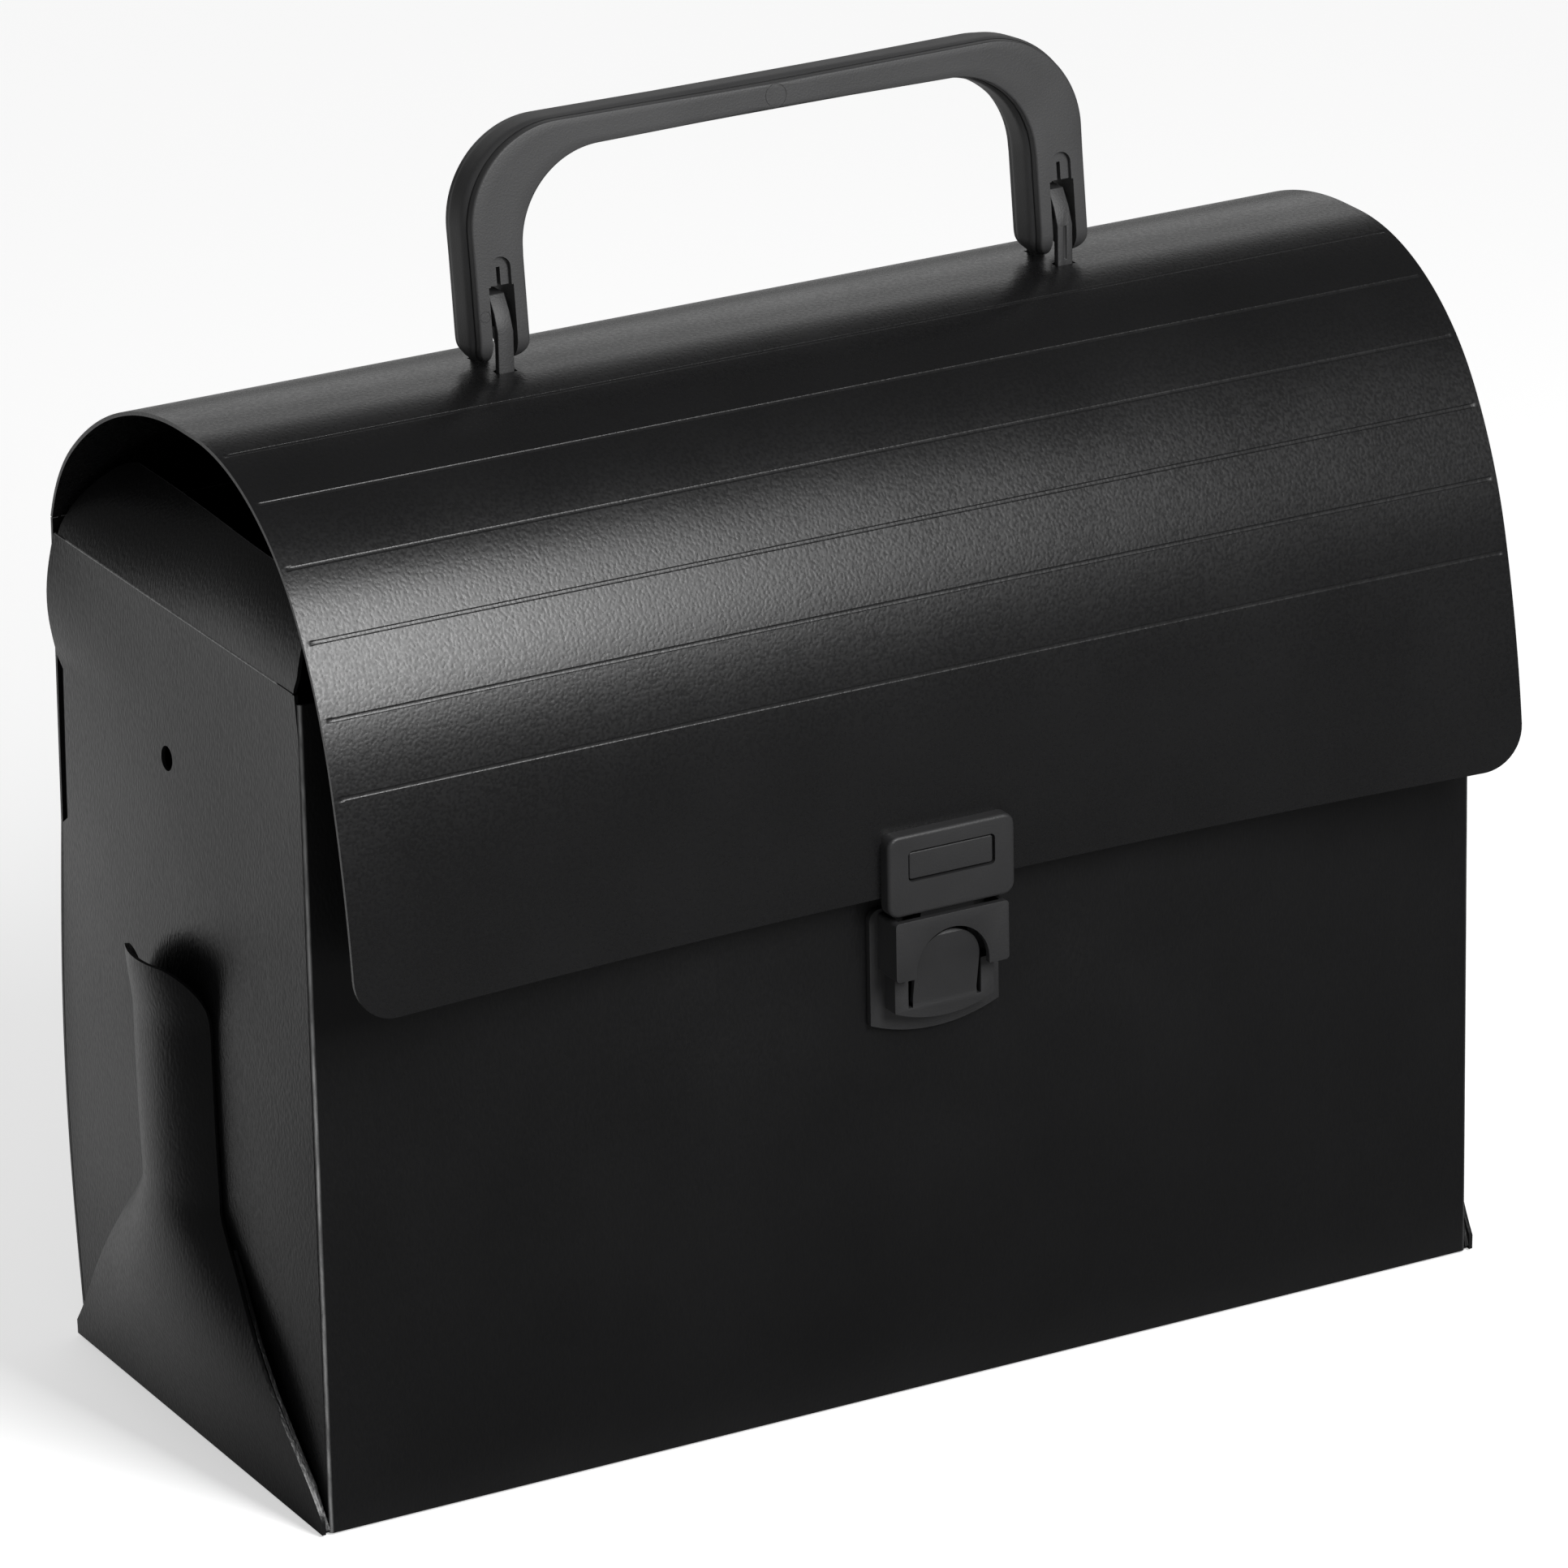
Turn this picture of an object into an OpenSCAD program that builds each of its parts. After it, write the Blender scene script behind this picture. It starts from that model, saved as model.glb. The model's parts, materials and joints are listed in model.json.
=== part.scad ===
// Carry case folded from creased plastic sheet: a barrel lid hinged on a crease,
// a moulded loop handle on two hooks, and a two-part push lock.
// Millimetres, +Z up, front faces -Y, origin at the centre of the base.

/* [Case] */
// Width between the outer faces of the end panels
body_w = 262; // [230:1:320]
// Depth at the base
body_d = 112; // [108:1:140]
// Height of the lid crease at the top of the back panel
back_h = 177; // [165:0.5:200]
// How far the creases of the dust flaps stand below the lid's crease
end_drop = 3; // [2:0.5:8]
// How far the front panel ends below the lid's crease
front_drop = 4.5; // [3:0.5:12]
// Thickness of the sheet
sheet_t = 0.8; // [0.6:0.1:1.2]
// How far the front panel bulges at the lock
front_bow = 9; // [4:0.5:12]
// How far the back panel bulges at its middle
back_bow = 3; // [0:0.5:6]
// How far an end panel bulges at its middle
end_bow = 3.8; // [0:0.2:6]

/* [Corners] */
// How far the back corner edges bulge below the relief cut
corner_bulge = 4; // [0:0.5:6]
// How far the lid crease stands inside the base
hinge_inset = 2; // [0:0.5:4]
// Height of the lower end of the relief cut in an end panel
relief_low = 112; // [100:1:120]
// Height of the upper end of the relief cut
relief_high = 148; // [135:1:155]
// Depth of the relief cut
relief_depth = 3; // [1:0.5:5]
// How far the free corner above the relief cut springs out
ear_spring = 2.2; // [0:0.2:4]
// Diameter of the rivet hole in an end panel
strap_hole_d = 5; // [3:0.5:8]
// Height of the rivet hole
strap_hole_z = 144; // [125:1:155]
// Width of the inner side flaps on the back panel
side_flap_w = 26; // [15:1:40]

/* [Bottom flaps] */
// Height at which a bottom flap has narrowed to its tongue
tongue_base_z = 55; // [46:1:62]
// Height of the tongue's top edge
tongue_top_z = 106; // [85:1:110]
// Width of the tongue
tongue_w = 31; // [24:1:40]
// How far the middle of the tongue stands out from its edges
tongue_rise = 6.5; // [3:0.5:10]
// How far the tongue stands in front of the end panel's middle
tongue_shift = 4.4; // [0:0.2:6]
// How far the folded webs push the flap's sloping edges off the end panel
web_push = 2; // [0.5:0.1:3]
// How far the tongue's top curls away from the end panel
tongue_curl = 1.4; // [0:0.1:3]
// Corner radius of the tongue
tongue_r = 9; // [4:0.5:12]

/* [Dust flaps] */
// Length of a dust flap from its crease
dust_flap_len = 21; // [14:0.5:23]
// Lean of a dust flap from upright at its crease
dust_flap_lean = 6; // [4:1:12]
// How much further it leans in by its free edge
dust_flap_curl = 34; // [20:1:40]
// Clearance between a dust flap's ends and the lid
dust_flap_play = 2.4; // [2:0.1:4]

/* [Lid] */
// Direction in which the lid leaves its crease, from level
lid_start = 107.5; // [100:0.5:112]
// Radius of the back shoulder
shoulder_r = 39; // [36:0.5:42]
// Turn of the back shoulder
shoulder_turn = 31; // [28:0.5:34]
// Radius of the long back slope
back_slope_r = 77; // [72:0.5:79]
// Radius in front of the ridge
ridge_r = 49; // [44:0.5:51]
// Turn in front of the ridge
ridge_turn = 25; // [22:0.5:28]
// Radius of the front shoulder
front_shoulder_r = 53; // [48:0.5:55]
// Turn of the front shoulder
front_shoulder_turn = 33; // [30:0.5:34]
// Radius of the upper front slope at the side edges
front_slope_r = 98; // [90:1:110]
// Turn of the upper front slope at the side edges
front_slope_turn = 18; // [14:0.5:20]
// Radius of the lower front slope at the side edges
skirt_r = 270; // [240:5:400]
// Radius of the lid's lower corners
lid_corner_r = 9; // [4:0.5:14]
// Distance between neighbouring creases
crease_pitch = 15; // [14:0.5:16]
// Distance from the ridge to the first front crease
crease_first = 11.3; // [8:0.1:14]
// Width of a crease groove
crease_w = 1; // [0.6:0.1:1.4]
// Depth of a crease groove
crease_depth = 0.2; // [0.1:0.05:0.3]
// How far a crease stops short of the sheet's edge
crease_end = 1.5; // [1:0.1:4]

/* [Handle] */
// Width over the handle's legs
handle_w = 138; // [122:1:170]
// Depth of the handle's body between its two pads
handle_d = 10.2; // [9:0.1:12]
// Height of the handle's top above the pivot
handle_rise = 37.7; // [34:0.1:50]
// Lean of the resting handle to the back
handle_lean = 6; // [0:1:12]
// How far the legs reach below the pivot
leg_reach = 8.5; // [6:0.1:8.7]
// Width of a leg
leg_w = 12.5; // [11.5:0.5:15]
// Height of the grip
grip_h = 6.9; // [6:0.1:10]
// Outer corner radius
handle_outer_r = 20; // [18:0.5:26]
// Inner corner radius
handle_inner_r = 18; // [10:0.5:19]
// Rounding of the body's edges
handle_edge_r = 3.2; // [2:0.1:4]
// Height of the raised pad on each face
pad_rise = 0.65; // [0.3:0.05:1]
// Distance from the body's side to the edge of a pad
pad_inset = 0.8; // [0.5:0.1:1.5]
// Rounding of a leg's end, seen from the side
leg_end_r = 4.6; // [3:0.1:5]
// Rounding of a leg's end, seen from the front
leg_tip_r = 3.4; // [2:0.1:4]
// Width of the fork in a leg
fork_w = 5.4; // [5:0.2:7]
// Play between a hook and the fork's web as the handle turns
fork_play = 0.3; // [0.3:0.1:1.5]
// Height of the recess above the fork
recess_h = 5.8; // [3:0.1:7]
// Width of the recess
recess_w = 4.6; // [3.6:0.1:5.4]
// Depth of the recess in each face
recess_d = 1; // [0.6:0.1:2]
// Width of the slot down the middle of the recess
recess_slot = 0.8; // [0.5:0.1:1.5]
// Diameter of the cross bar
bar_d = 4.4; // [3.6:0.1:5]
// Height of the pivot above the lid's ridge
pivot_rise = 9.8; // [9.4:0.1:14]
// Distance of the pivot in front of the base's centre
pivot_y = 6.2; // [3:0.1:8]

/* [Hooks] */
// Width of a hook's strap
hook_w = 3.4; // [3:0.1:4.2]
// Thickness of a hook's legs
hook_t = 1.5; // [1.2:0.1:2.4]
// Clear width inside a hook's loop
hook_gap = 9.5; // [8:0.5:10]
// Thickness of the hook above the bar
hook_crown = 2.6; // [2:0.1:3.2]
// Width of a retainer
retainer_w = 18; // [12:0.5:24]
// Thickness of a retainer
retainer_t = 2; // [1.5:0.1:3]
// Width of the groove in a hook's outer face
hook_groove = 0.6; // [0.4:0.1:1]

/* [Lock] */
// Height of the parting line between hasp and catch
lock_z = 110; // [100:1:118]
// Distance from the front panel to the hasp plate's seat
lock_reach = 6; // [5.5:0.1:7]
// Width of the hasp plate
hasp_w = 28.5; // [24:0.5:36]
// Height of the hasp plate
hasp_h = 17; // [15:0.5:22]
// Thickness of the hasp plate
hasp_t = 3; // [2.4:0.1:4]
// Corner radius of the hasp plate
hasp_r = 2.5; // [1.5:0.1:3.5]
// Width of the window in the hasp plate
window_w = 19.5; // [14:0.5:20]
// Height of the window in the hasp plate
window_h = 6.4; // [5:0.2:8]
// Gap round the insert in the window
window_gap = 0.4; // [0.2:0.1:0.6]
// Width of the catch's flange
flange_w = 29; // [28:0.5:36]
// Height of the catch's flange
flange_h = 27.5; // [26:0.5:34]
// Thickness of the catch's flange
flange_t = 1.5; // [1.2:0.1:2]
// Width of the catch's lower body
catch_w = 22.4; // [21:0.2:25]
// Depth of the catch's lower body in front of the flange
catch_low_d = 4; // [3.6:0.1:5]
// Width of the catch's brow
brow_w = 25.4; // [24:0.2:28]
// Depth of the brow in front of the flange
brow_d = 7.5; // [7.4:0.1:8.5]
// Height of the brow
brow_h = 12.4; // [11:0.2:14]
// Wall thickness of the catch
catch_wall = 1.4; // [1.2:0.1:1.6]
// Width of the release tongue
button_w = 14.4; // [12:0.2:15]
// Height of the release tongue above its hinge
button_h = 15; // [13:0.2:15.2]
// How far the tongue's top stands in front of its foot
button_lean = 2.4; // [0:0.2:2.4]
// Gap around the release tongue
button_gap = 1; // [0.4:0.1:1.2]
// Diameter of the posts that clamp the lock to the sheet
post_d = 3; // [2.5:0.1:3.5]

/* [Hidden] */
$fn = 48;

eps = 0.01;          // reach of a cutter past the face it opens
layer_gap = 0.05;    // play between folded layers
crease_gap = 0.3;    // play across a crease that turns
fit_gap = 0.2;       // play of a pin or post in its hole
run_gap = 0.3;       // play between parts that move past each other

half_w = body_w / 2;
half_d = body_d / 2;
end_h = back_h - end_drop;
front_h = back_h - front_drop;
layer = sheet_t + layer_gap;

sheet_black = [0.11, 0.11, 0.115];
end_black = [0.16, 0.16, 0.165];
handle_grey = [0.28, 0.28, 0.285];
lock_grey = [0.2, 0.2, 0.205];

// ---- Sheet built from two matching grids of points ----
module sheet_grid(outer, inner) {
    rows = len(outer);
    cols = len(outer[0]);
    size = rows * cols;
    function at(i, j, side) = side * size + i * cols + j;
    function quad(a, b, c, d) = [[a, b, c], [a, c, d]];
    faces = concat(
        [for (i = [0:rows - 2], j = [0:cols - 2])
            each quad(at(i, j, 0), at(i + 1, j, 0), at(i + 1, j + 1, 0), at(i, j + 1, 0))],
        [for (i = [0:rows - 2], j = [0:cols - 2])
            each quad(at(i, j, 1), at(i, j + 1, 1), at(i + 1, j + 1, 1), at(i + 1, j, 1))],
        [for (j = [0:cols - 2])
            each quad(at(0, j, 0), at(0, j + 1, 0), at(0, j + 1, 1), at(0, j, 1))],
        [for (j = [0:cols - 2])
            each quad(at(rows - 1, j, 0), at(rows - 1, j, 1),
                at(rows - 1, j + 1, 1), at(rows - 1, j + 1, 0))],
        [for (i = [0:rows - 2])
            each quad(at(i, 0, 0), at(i, 0, 1), at(i + 1, 0, 1), at(i + 1, 0, 0))],
        [for (i = [0:rows - 2])
            each quad(at(i, cols - 1, 0), at(i + 1, cols - 1, 0),
                at(i + 1, cols - 1, 1), at(i, cols - 1, 1))]);
    polyhedron(points = concat([for (row = outer) each row], [for (row = inner) each row]),
        faces = faces, convexity = 6);
}

function mix(a, b, f) = a + (b - a) * f;
function steps(a, b, n) = [for (i = [0:n]) mix(a, b, i / n)];
function between(a, b, n) = [for (i = [1:1:n - 1]) mix(a, b, i / n)];
function unit(v) = v / norm(v);

module on_right() { mirror([1, 0, 0]) children(); }

// ---- Front panel: bulged, with a flat seat for the lock ----
seat_half = flange_w / 2 + 1;
seat_z = lock_z - flange_h;
seat_y = -half_d - front_bow;

front_ease = 0.4;         // share of the bulge that is gone at the panel's top edge
ease_z = lock_z + 15;     // height from which the bulge eases

function front_y(x, z) = -half_d - front_bow
    * cos(90 * max(abs(x) - seat_half, 0) / (half_w - seat_half))
    * sin(90 * min(z / seat_z, 1))
    * (1 - front_ease * max(0, (z - ease_z) / (front_h - ease_z)) ^ 2);

module front_panel() {
    xs = concat(steps(-half_w, -seat_half, 7), steps(seat_half, half_w, 7));
    zs = concat(steps(0, seat_z, 6), steps(ease_z, front_h, 4));
    color(sheet_black) difference() {
        sheet_grid([for (z = zs) [for (x = xs) [x, front_y(x, z), z]]],
            [for (z = zs) [for (x = xs) [x, front_y(x, z) + sheet_t, z]]]);
        catch_posts(post_d + 2 * fit_gap);
    }
}

// ---- Back panel ----
function back_edge(z) = z <= relief_low
    ? half_d + corner_bulge * sin(180 * z / relief_low)
    : half_d - hinge_inset * (z - relief_low) / (back_h - relief_low);
function back_y(x, z) = back_edge(z) + back_bow * cos(90 * x / half_w) * sin(180 * z / back_h);

back_rows = concat(steps(0, relief_low, 8), between(relief_low, back_h, 5), [back_h]);
back_line = [for (z = back_rows) [z, back_edge(z)]];

module back_panel() {
    xs = steps(half_w, -half_w, 10);
    color(sheet_black)
        sheet_grid([for (z = back_rows) [for (x = xs) [x, back_y(x, z), z]]],
            [for (z = back_rows) [for (x = xs) [x, back_y(x, z) - sheet_t, z]]]);
}

// ---- Bottom panel: reaches under the end panels to the bottom flaps ----
module bottom_panel() {
    reach = half_w + 2 * layer + layer_gap - sheet_t - eps;
    color(sheet_black)
        translate([-reach, -half_d + sheet_t, 0])
            cube([2 * reach, body_d - 2 * sheet_t, sheet_t]);
}

// ---- End panels, written for the left end ----
notch_h = 8;         // height of the relief at the front top corner
notch_w = 1;         // width of that relief
relief_slope = 2;    // height over which the relief cut opens

function bulge(y, z) = end_bow * cos(90 * min(abs(y) / half_d, 1)) * sin(180 * min(z / end_h, 1));
function relief(z) = relief_depth * max(0, min(1, (z - relief_low) / relief_slope,
    (relief_high - z) / relief_slope));
function ear(y, z) = z <= relief_high ? 0
    : ear_spring * sin(180 * (z - relief_high) / (end_h - relief_high)) * max(0, (y / half_d) ^ 3);
function end_front(z) = -half_d + sheet_t + notch_w * max(0, (z - end_h + notch_h) / notch_h);
function end_back(z) = back_edge(z) - sheet_t - crease_gap - relief(z);
function end_x(y, z) = -half_w - bulge(y, z) - ear(y, z);

module end_panel() {
    zs = concat(steps(sheet_t, relief_low, 9), [relief_low + relief_slope],
        [strap_hole_z - 8, relief_high - relief_slope],
        steps(relief_high, end_h - notch_h, 3), [end_h - notch_h / 2, end_h]);
    vs = steps(1, 0, 10);
    grid = [for (z = zs) [for (v = vs) let (y = mix(end_front(z), end_back(z), v))
        [end_x(y, z), y, z]]];
    color(end_black) difference() {
        sheet_grid(grid, [for (row = grid) [for (p = row) p + [sheet_t, 0, 0]]]);
        translate([-half_w - 2 * end_bow, 0, strap_hole_z])
            rotate([0, 90, 0]) cylinder(d = strap_hole_d, h = 4 * end_bow);
    }
}

module left_end_panel() { end_panel(); }
module right_end_panel() { on_right() end_panel(); }

// ---- Inner side flaps that the back panel folds in behind the end panels ----
module side_flap() {
    low = 6;
    high = back_h - 8;
    inner_y = half_d - side_flap_w;
    zs = concat([low], [for (z = back_rows) if (z > low && z < high) z], [high]);
    back = [for (z = zs) [lookup(z, back_line) - sheet_t, z]];
    color(sheet_black)
        translate([-half_w + sheet_t, 0, 0]) rotate([90, 0, 90]) linear_extrude(sheet_t)
            polygon(concat(back, [[inner_y, high - side_flap_w / 3], [inner_y, low + side_flap_w / 3]]));
}

module left_side_flap() { side_flap(); }
module right_side_flap() { on_right() side_flap(); }

// ---- Bottom flaps: a flat foot that draws in to a bulged tongue ----
foot_h = 3;          // height of the flap's square foot
web_top_w = 3;       // width of a folded web at its top
web_side = 3;        // distance of a web's free edge from the flap's middle
tongue_tuck = 0.6;   // how far the tongue draws in to the end panel above the webs
curl_h = 14;         // height over which the tongue's top curls away
tongue_half = tongue_w / 2;
web_high = tongue_base_z - foot_h - web_top_w;

function flap_half(z) = z <= foot_h ? half_d
    : z < tongue_base_z ? mix(half_d, tongue_half, (z - foot_h) / (tongue_base_z - foot_h))
    : z <= tongue_top_z - tongue_r ? tongue_half
    : tongue_half - tongue_r + sqrt(max(0, tongue_r ^ 2 - (z - tongue_top_z + tongue_r) ^ 2));
function ease(f) = f <= 0 ? 0 : f >= 1 ? 1 : f * f * (3 - 2 * f);
function flap_proud(z) = web_push * sin(180 * min(z / tongue_base_z, 1)) ^ 2
    - tongue_tuck * ease((z - web_high) / 10)
    + tongue_curl * ease((z - tongue_top_z + curl_h) / curl_h);
// middle and edges of the flap at height z, side -1 in front and 1 at the back
function flap_middle(z) = -tongue_shift * max(0, min(1, (z - foot_h) / (tongue_base_z - foot_h)));
function flap_edge(z, side) = flap_middle(z) + side * flap_half(z);
function flap_rise(z) = tongue_rise * ease(z / tongue_base_z);
// height of an arc over its chord, y from the middle of a chord of half width h
function arc_over(y, h, rise) = rise < 0.05 ? 0
    : let (r = (h ^ 2 + rise ^ 2) / (2 * rise)) sqrt(r ^ 2 - min(abs(y), h) ^ 2) - r + rise;
function flap_x(y, z) = -half_w - 2 * layer - layer_gap - bulge(y, z) - flap_proud(z)
    - arc_over(y - flap_middle(z), z < tongue_base_z ? flap_half(z) : tongue_half, flap_rise(z));
function flap_point(v, z) = let (y = flap_edge(z, v)) [flap_x(y, z), y, z];
function flap_normal(v, z) = let (d = 0.05, p = flap_point(v, z),
    a = [flap_x(p[1] + d, z), p[1] + d, z] - [flap_x(p[1] - d, z), p[1] - d, z],
    b = [flap_x(p[1], z + d), p[1], z + d] - [flap_x(p[1], z - d), p[1], z - d]) unit(cross(b, a));

module bottom_flap() {
    zs = concat([0, foot_h], between(foot_h, tongue_base_z, 9),
        steps(tongue_base_z, tongue_top_z - tongue_r, 6),
        [for (a = [20, 40, 60, 80]) tongue_top_z - tongue_r * (1 - sin(a))]);
    vs = steps(1, -1, 14);
    color(end_black)
        sheet_grid([for (z = zs) [for (v = vs) flap_point(v, z)]],
            [for (z = zs) [for (v = vs) flap_point(v, z) - sheet_t * flap_normal(v, z)]]);
}

module left_bottom_flap() { bottom_flap(); }
module right_bottom_flap() { on_right() bottom_flap(); }

// ---- Folded webs between a bottom flap and its end panel ----
// side -1 in front, 1 at the back
module corner_web(side) {
    zs = steps(sheet_t + layer_gap, web_high, 6);
    function free_edge(z) = flap_middle(z) + side * (web_side + web_top_w * (1 - z / web_high));
    grid = [for (z = zs) [for (v = steps(0, 1, 6)) let (y = mix(flap_edge(z, side), free_edge(z), v))
        [-half_w - layer - bulge(y, z) - flap_proud(z) * (1 - v), y, z]]];
    rows = side < 0 ? [for (row = grid) [for (j = [6:-1:0]) row[j]]] : grid;
    color(sheet_black)
        sheet_grid(rows, [for (row = rows) [for (p = row) p + [sheet_t, 0, 0]]]);
}

module left_front_web() { corner_web(-1); }
module left_back_web() { corner_web(1); }
module right_front_web() { on_right() corner_web(-1); }
module right_back_web() { on_right() corner_web(1); }

// ---- Lid: one sheet bent along a chain of arcs in the YZ plane ----
// A heading is an angle in that plane: 90 up, 180 to the front, 270 down.
function arc_move(r, h, a) = r * [sin(h + a) - sin(h), cos(h) - cos(h + a)];
function arc_len(r, a) = r * a * PI / 180;
function walk(chain, s, p, h, i = 0) = let (len_i = chain[i][0], turn = chain[i][1], r = chain[i][2])
    s <= len_i || i == len(chain) - 1
        ? let (a = turn * s / len_i)
            [a == 0 ? p + s * [cos(h), sin(h)] : p + arc_move(r, h, a), h + a]
        : walk(chain, s - len_i, turn == 0 ? p + len_i * [cos(h), sin(h)] : p + arc_move(r, h, turn),
            h + turn, i + 1);
function arc(r, a) = [arc_len(r, a), a, r];

lid_root = [half_d - hinge_inset, back_h + crease_gap];
back_slope_turn = 180 - lid_start - shoulder_turn;
brow_heading = 180 + ridge_turn + front_shoulder_turn;
side_heading = brow_heading + front_slope_turn;
brow_overhang = 0.9;      // how far the front shoulder ends ahead of the front panel's foot
front_span = -arc_move(ridge_r, 180, ridge_turn)[0]
    - arc_move(front_shoulder_r, 180 + ridge_turn, front_shoulder_turn)[0];
back_span = -arc_move(shoulder_r, lid_start, shoulder_turn)[0]
    - arc_move(back_slope_r, lid_start + shoulder_turn, back_slope_turn)[0];
ridge_flat = lid_root[0] + half_d + brow_overhang - front_span - back_span;
top_chain = [arc(shoulder_r, shoulder_turn), arc(back_slope_r, back_slope_turn), [ridge_flat, 0, 0],
    arc(ridge_r, ridge_turn), arc(front_shoulder_r, front_shoulder_turn)];
top_len = top_chain[0][0] + top_chain[1][0] + top_chain[2][0] + top_chain[3][0] + top_chain[4][0];
brow_end = walk(top_chain, top_len, lid_root, lid_start)[0];
ridge_z = walk(top_chain, top_chain[0][0] + top_chain[1][0], lid_root, lid_start)[0][1];
ridge_s = top_chain[0][0] + top_chain[1][0] + ridge_flat;
lid_edge_z = lock_z + 4;

// side edge: one arc, then a flatter one down to the lower edge
side_end = brow_end + arc_move(front_slope_r, brow_heading, front_slope_turn);
skirt_turn = 360 - acos(cos(side_heading) - (lid_edge_z - side_end[1]) / skirt_r) - side_heading;
side_chain = concat(top_chain, [arc(front_slope_r, front_slope_turn), arc(skirt_r, skirt_turn)]);
side_len = top_len + arc_len(front_slope_r, front_slope_turn) + arc_len(skirt_r, skirt_turn);

// middle: one arc, then straight down past the lock
hasp_y = seat_y - lock_reach;
mid_turn = 270 - brow_heading;
mid_r = (brow_end[0] - hasp_y) / (1 + sin(brow_heading));
mid_drop = brow_end[1] + arc_move(mid_r, brow_heading, mid_turn)[1] - lid_edge_z;
mid_chain = concat(top_chain, [arc(mid_r, mid_turn), [mid_drop, 0, 0]]);
mid_len = top_len + arc_len(mid_r, mid_turn) + mid_drop;

// s runs from 0 at the crease to side_len at the lower edge
function lid_mix(x) = cos(90 * max(abs(x) - seat_half, 0) / (half_w - seat_half));
function lid_side(s) = walk(side_chain, s, lid_root, lid_start);
function lid_mid(s) = s <= top_len ? lid_side(s)
    : walk(mid_chain, top_len + (s - top_len) * (mid_len - top_len) / (side_len - top_len),
        lid_root, lid_start);
function lid_at(x, s) = mix(lid_side(s)[0], lid_mid(s)[0], lid_mix(x));
function lid_heading(x, s) = mix(lid_side(s)[1], lid_mid(s)[1], lid_mix(x));
// outward normal of the sheet in the YZ plane
function lid_out(x, s) = let (h = lid_heading(x, s)) [sin(h), -cos(h)];

back_creases = [crease_pitch, 2 * crease_pitch, 3 * crease_pitch];
front_creases = [for (i = [0:5]) ridge_s + crease_first + i * crease_pitch];
lid_creases = concat(back_creases, front_creases);
lid_marks = concat([0], lid_creases, [side_len - lid_corner_r]);
function is_crease(s) = len([for (c = lid_creases) if (abs(c - s) < eps) 1]) > 0;
lid_stations = concat([0],
    [for (i = [0:len(lid_marks) - 2])
        let (a = lid_marks[i] + (i > 0 ? crease_w / 2 : 0),
            last = i == len(lid_marks) - 2,
            b = lid_marks[i + 1] - (last ? 0 : crease_w / 2),
            n = max(1, round((b - a) / 6)))
        each concat(i > 0 ? [a] : [], between(a, b, n), [b], last ? [] : [lid_marks[i + 1]])],
    [for (a = [25, 50, 70, 90]) side_len - lid_corner_r * (1 - sin(a))]);

function lid_half(s) = half_w - lid_corner_r
    + sqrt(max(0, lid_corner_r ^ 2 - max(0, s - side_len + lid_corner_r) ^ 2));

module lid_sheet() {
    us = concat([-1], [-1 + crease_end / half_w], steps(-0.8, -seat_half / half_w, 3),
        steps(seat_half / half_w, 0.8, 3), [1 - crease_end / half_w], [1]);
    function groove(u, s) = abs(u) < 1 - 0.9 * crease_end / half_w && is_crease(s) ? crease_depth : 0;
    function lid_point(u, s, depth) = let (x = u * lid_half(s), p = lid_at(x, s) - depth * lid_out(x, s))
        [x, p[0], p[1]];
    sheet_grid([for (s = lid_stations) [for (u = us) lid_point(-u, s, groove(u, s))]],
        [for (s = lid_stations) [for (u = us) lid_point(-u, s, sheet_t)]]);
}

module lid() {
    color(sheet_black) difference() {
        lid_sheet();
        for (side = [-1, 1]) hook_legs(side, fit_gap);
        lock_block(window_w + 2 * fit_gap, window_h + 2 * fit_gap, hasp_mid_z,
            hasp_y - 1, hasp_y + sheet_t + 1, 0);
        hasp_posts(post_d + 2 * fit_gap);
    }
}

// ---- Dust flaps, hinged on the inner edge of the end panel's top ----
// Each curls in from its crease, and its ends follow the lid's inner face.
lid_inset = sheet_t + dust_flap_play;
function inside_lid(s) = let (p = lid_side(s))
    [p[0][1] + lid_inset * cos(p[1]), p[0][0] - lid_inset * sin(p[1])];
lid_inside_back = [for (s = [0:3:ridge_s]) inside_lid(s)];
lid_inside_front = [for (s = [top_len + 24:-3:ridge_s]) inside_lid(s)];
flap_foot = half_d - sheet_t - notch_w - run_gap;
flap_tip_r = 3;

// height and inset of the flap's middle line after a length v
flap_curl_r = dust_flap_len / (dust_flap_curl * PI / 180);
function curl_at(v) = dust_flap_lean + dust_flap_curl * v / dust_flap_len;
function curl_up(v) = flap_curl_r * (sin(curl_at(v)) - sin(dust_flap_lean));
function curl_in(v) = flap_curl_r * (cos(dust_flap_lean) - cos(curl_at(v)));
// how far the flap's rounded tips draw in
function tip_in(v) = let (over = max(0, v - dust_flap_len + flap_tip_r))
    flap_tip_r - sqrt(max(0, flap_tip_r ^ 2 - over ^ 2));
function flap_front_end(v) = let (z = end_h + crease_gap + curl_up(v))
    max(-flap_foot - 1.4 * ease(v / 4), lookup(z, lid_inside_front)) + tip_in(v);
function flap_back_end(v) = let (z = end_h + crease_gap + curl_up(v))
    min(flap_foot - notch_w - 1.5 * run_gap, lookup(z, lid_inside_back)) - tip_in(v);

module dust_flap() {
    vs = concat([0, 2, 4], steps(7, dust_flap_len - flap_tip_r, 4),
        [for (a = [35, 70]) dust_flap_len - flap_tip_r * (1 - sin(a))]);
    function rows(depth) = [for (v = vs) [for (y = steps(flap_back_end(v), flap_front_end(v), 8))
        [-half_w + curl_in(v) + depth * cos(curl_at(v)), y, end_h + crease_gap + curl_up(v)
            - depth * (sin(curl_at(v)) - sin(dust_flap_lean))]]];
    color(end_black) sheet_grid(rows(0), rows(sheet_t));
}

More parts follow.
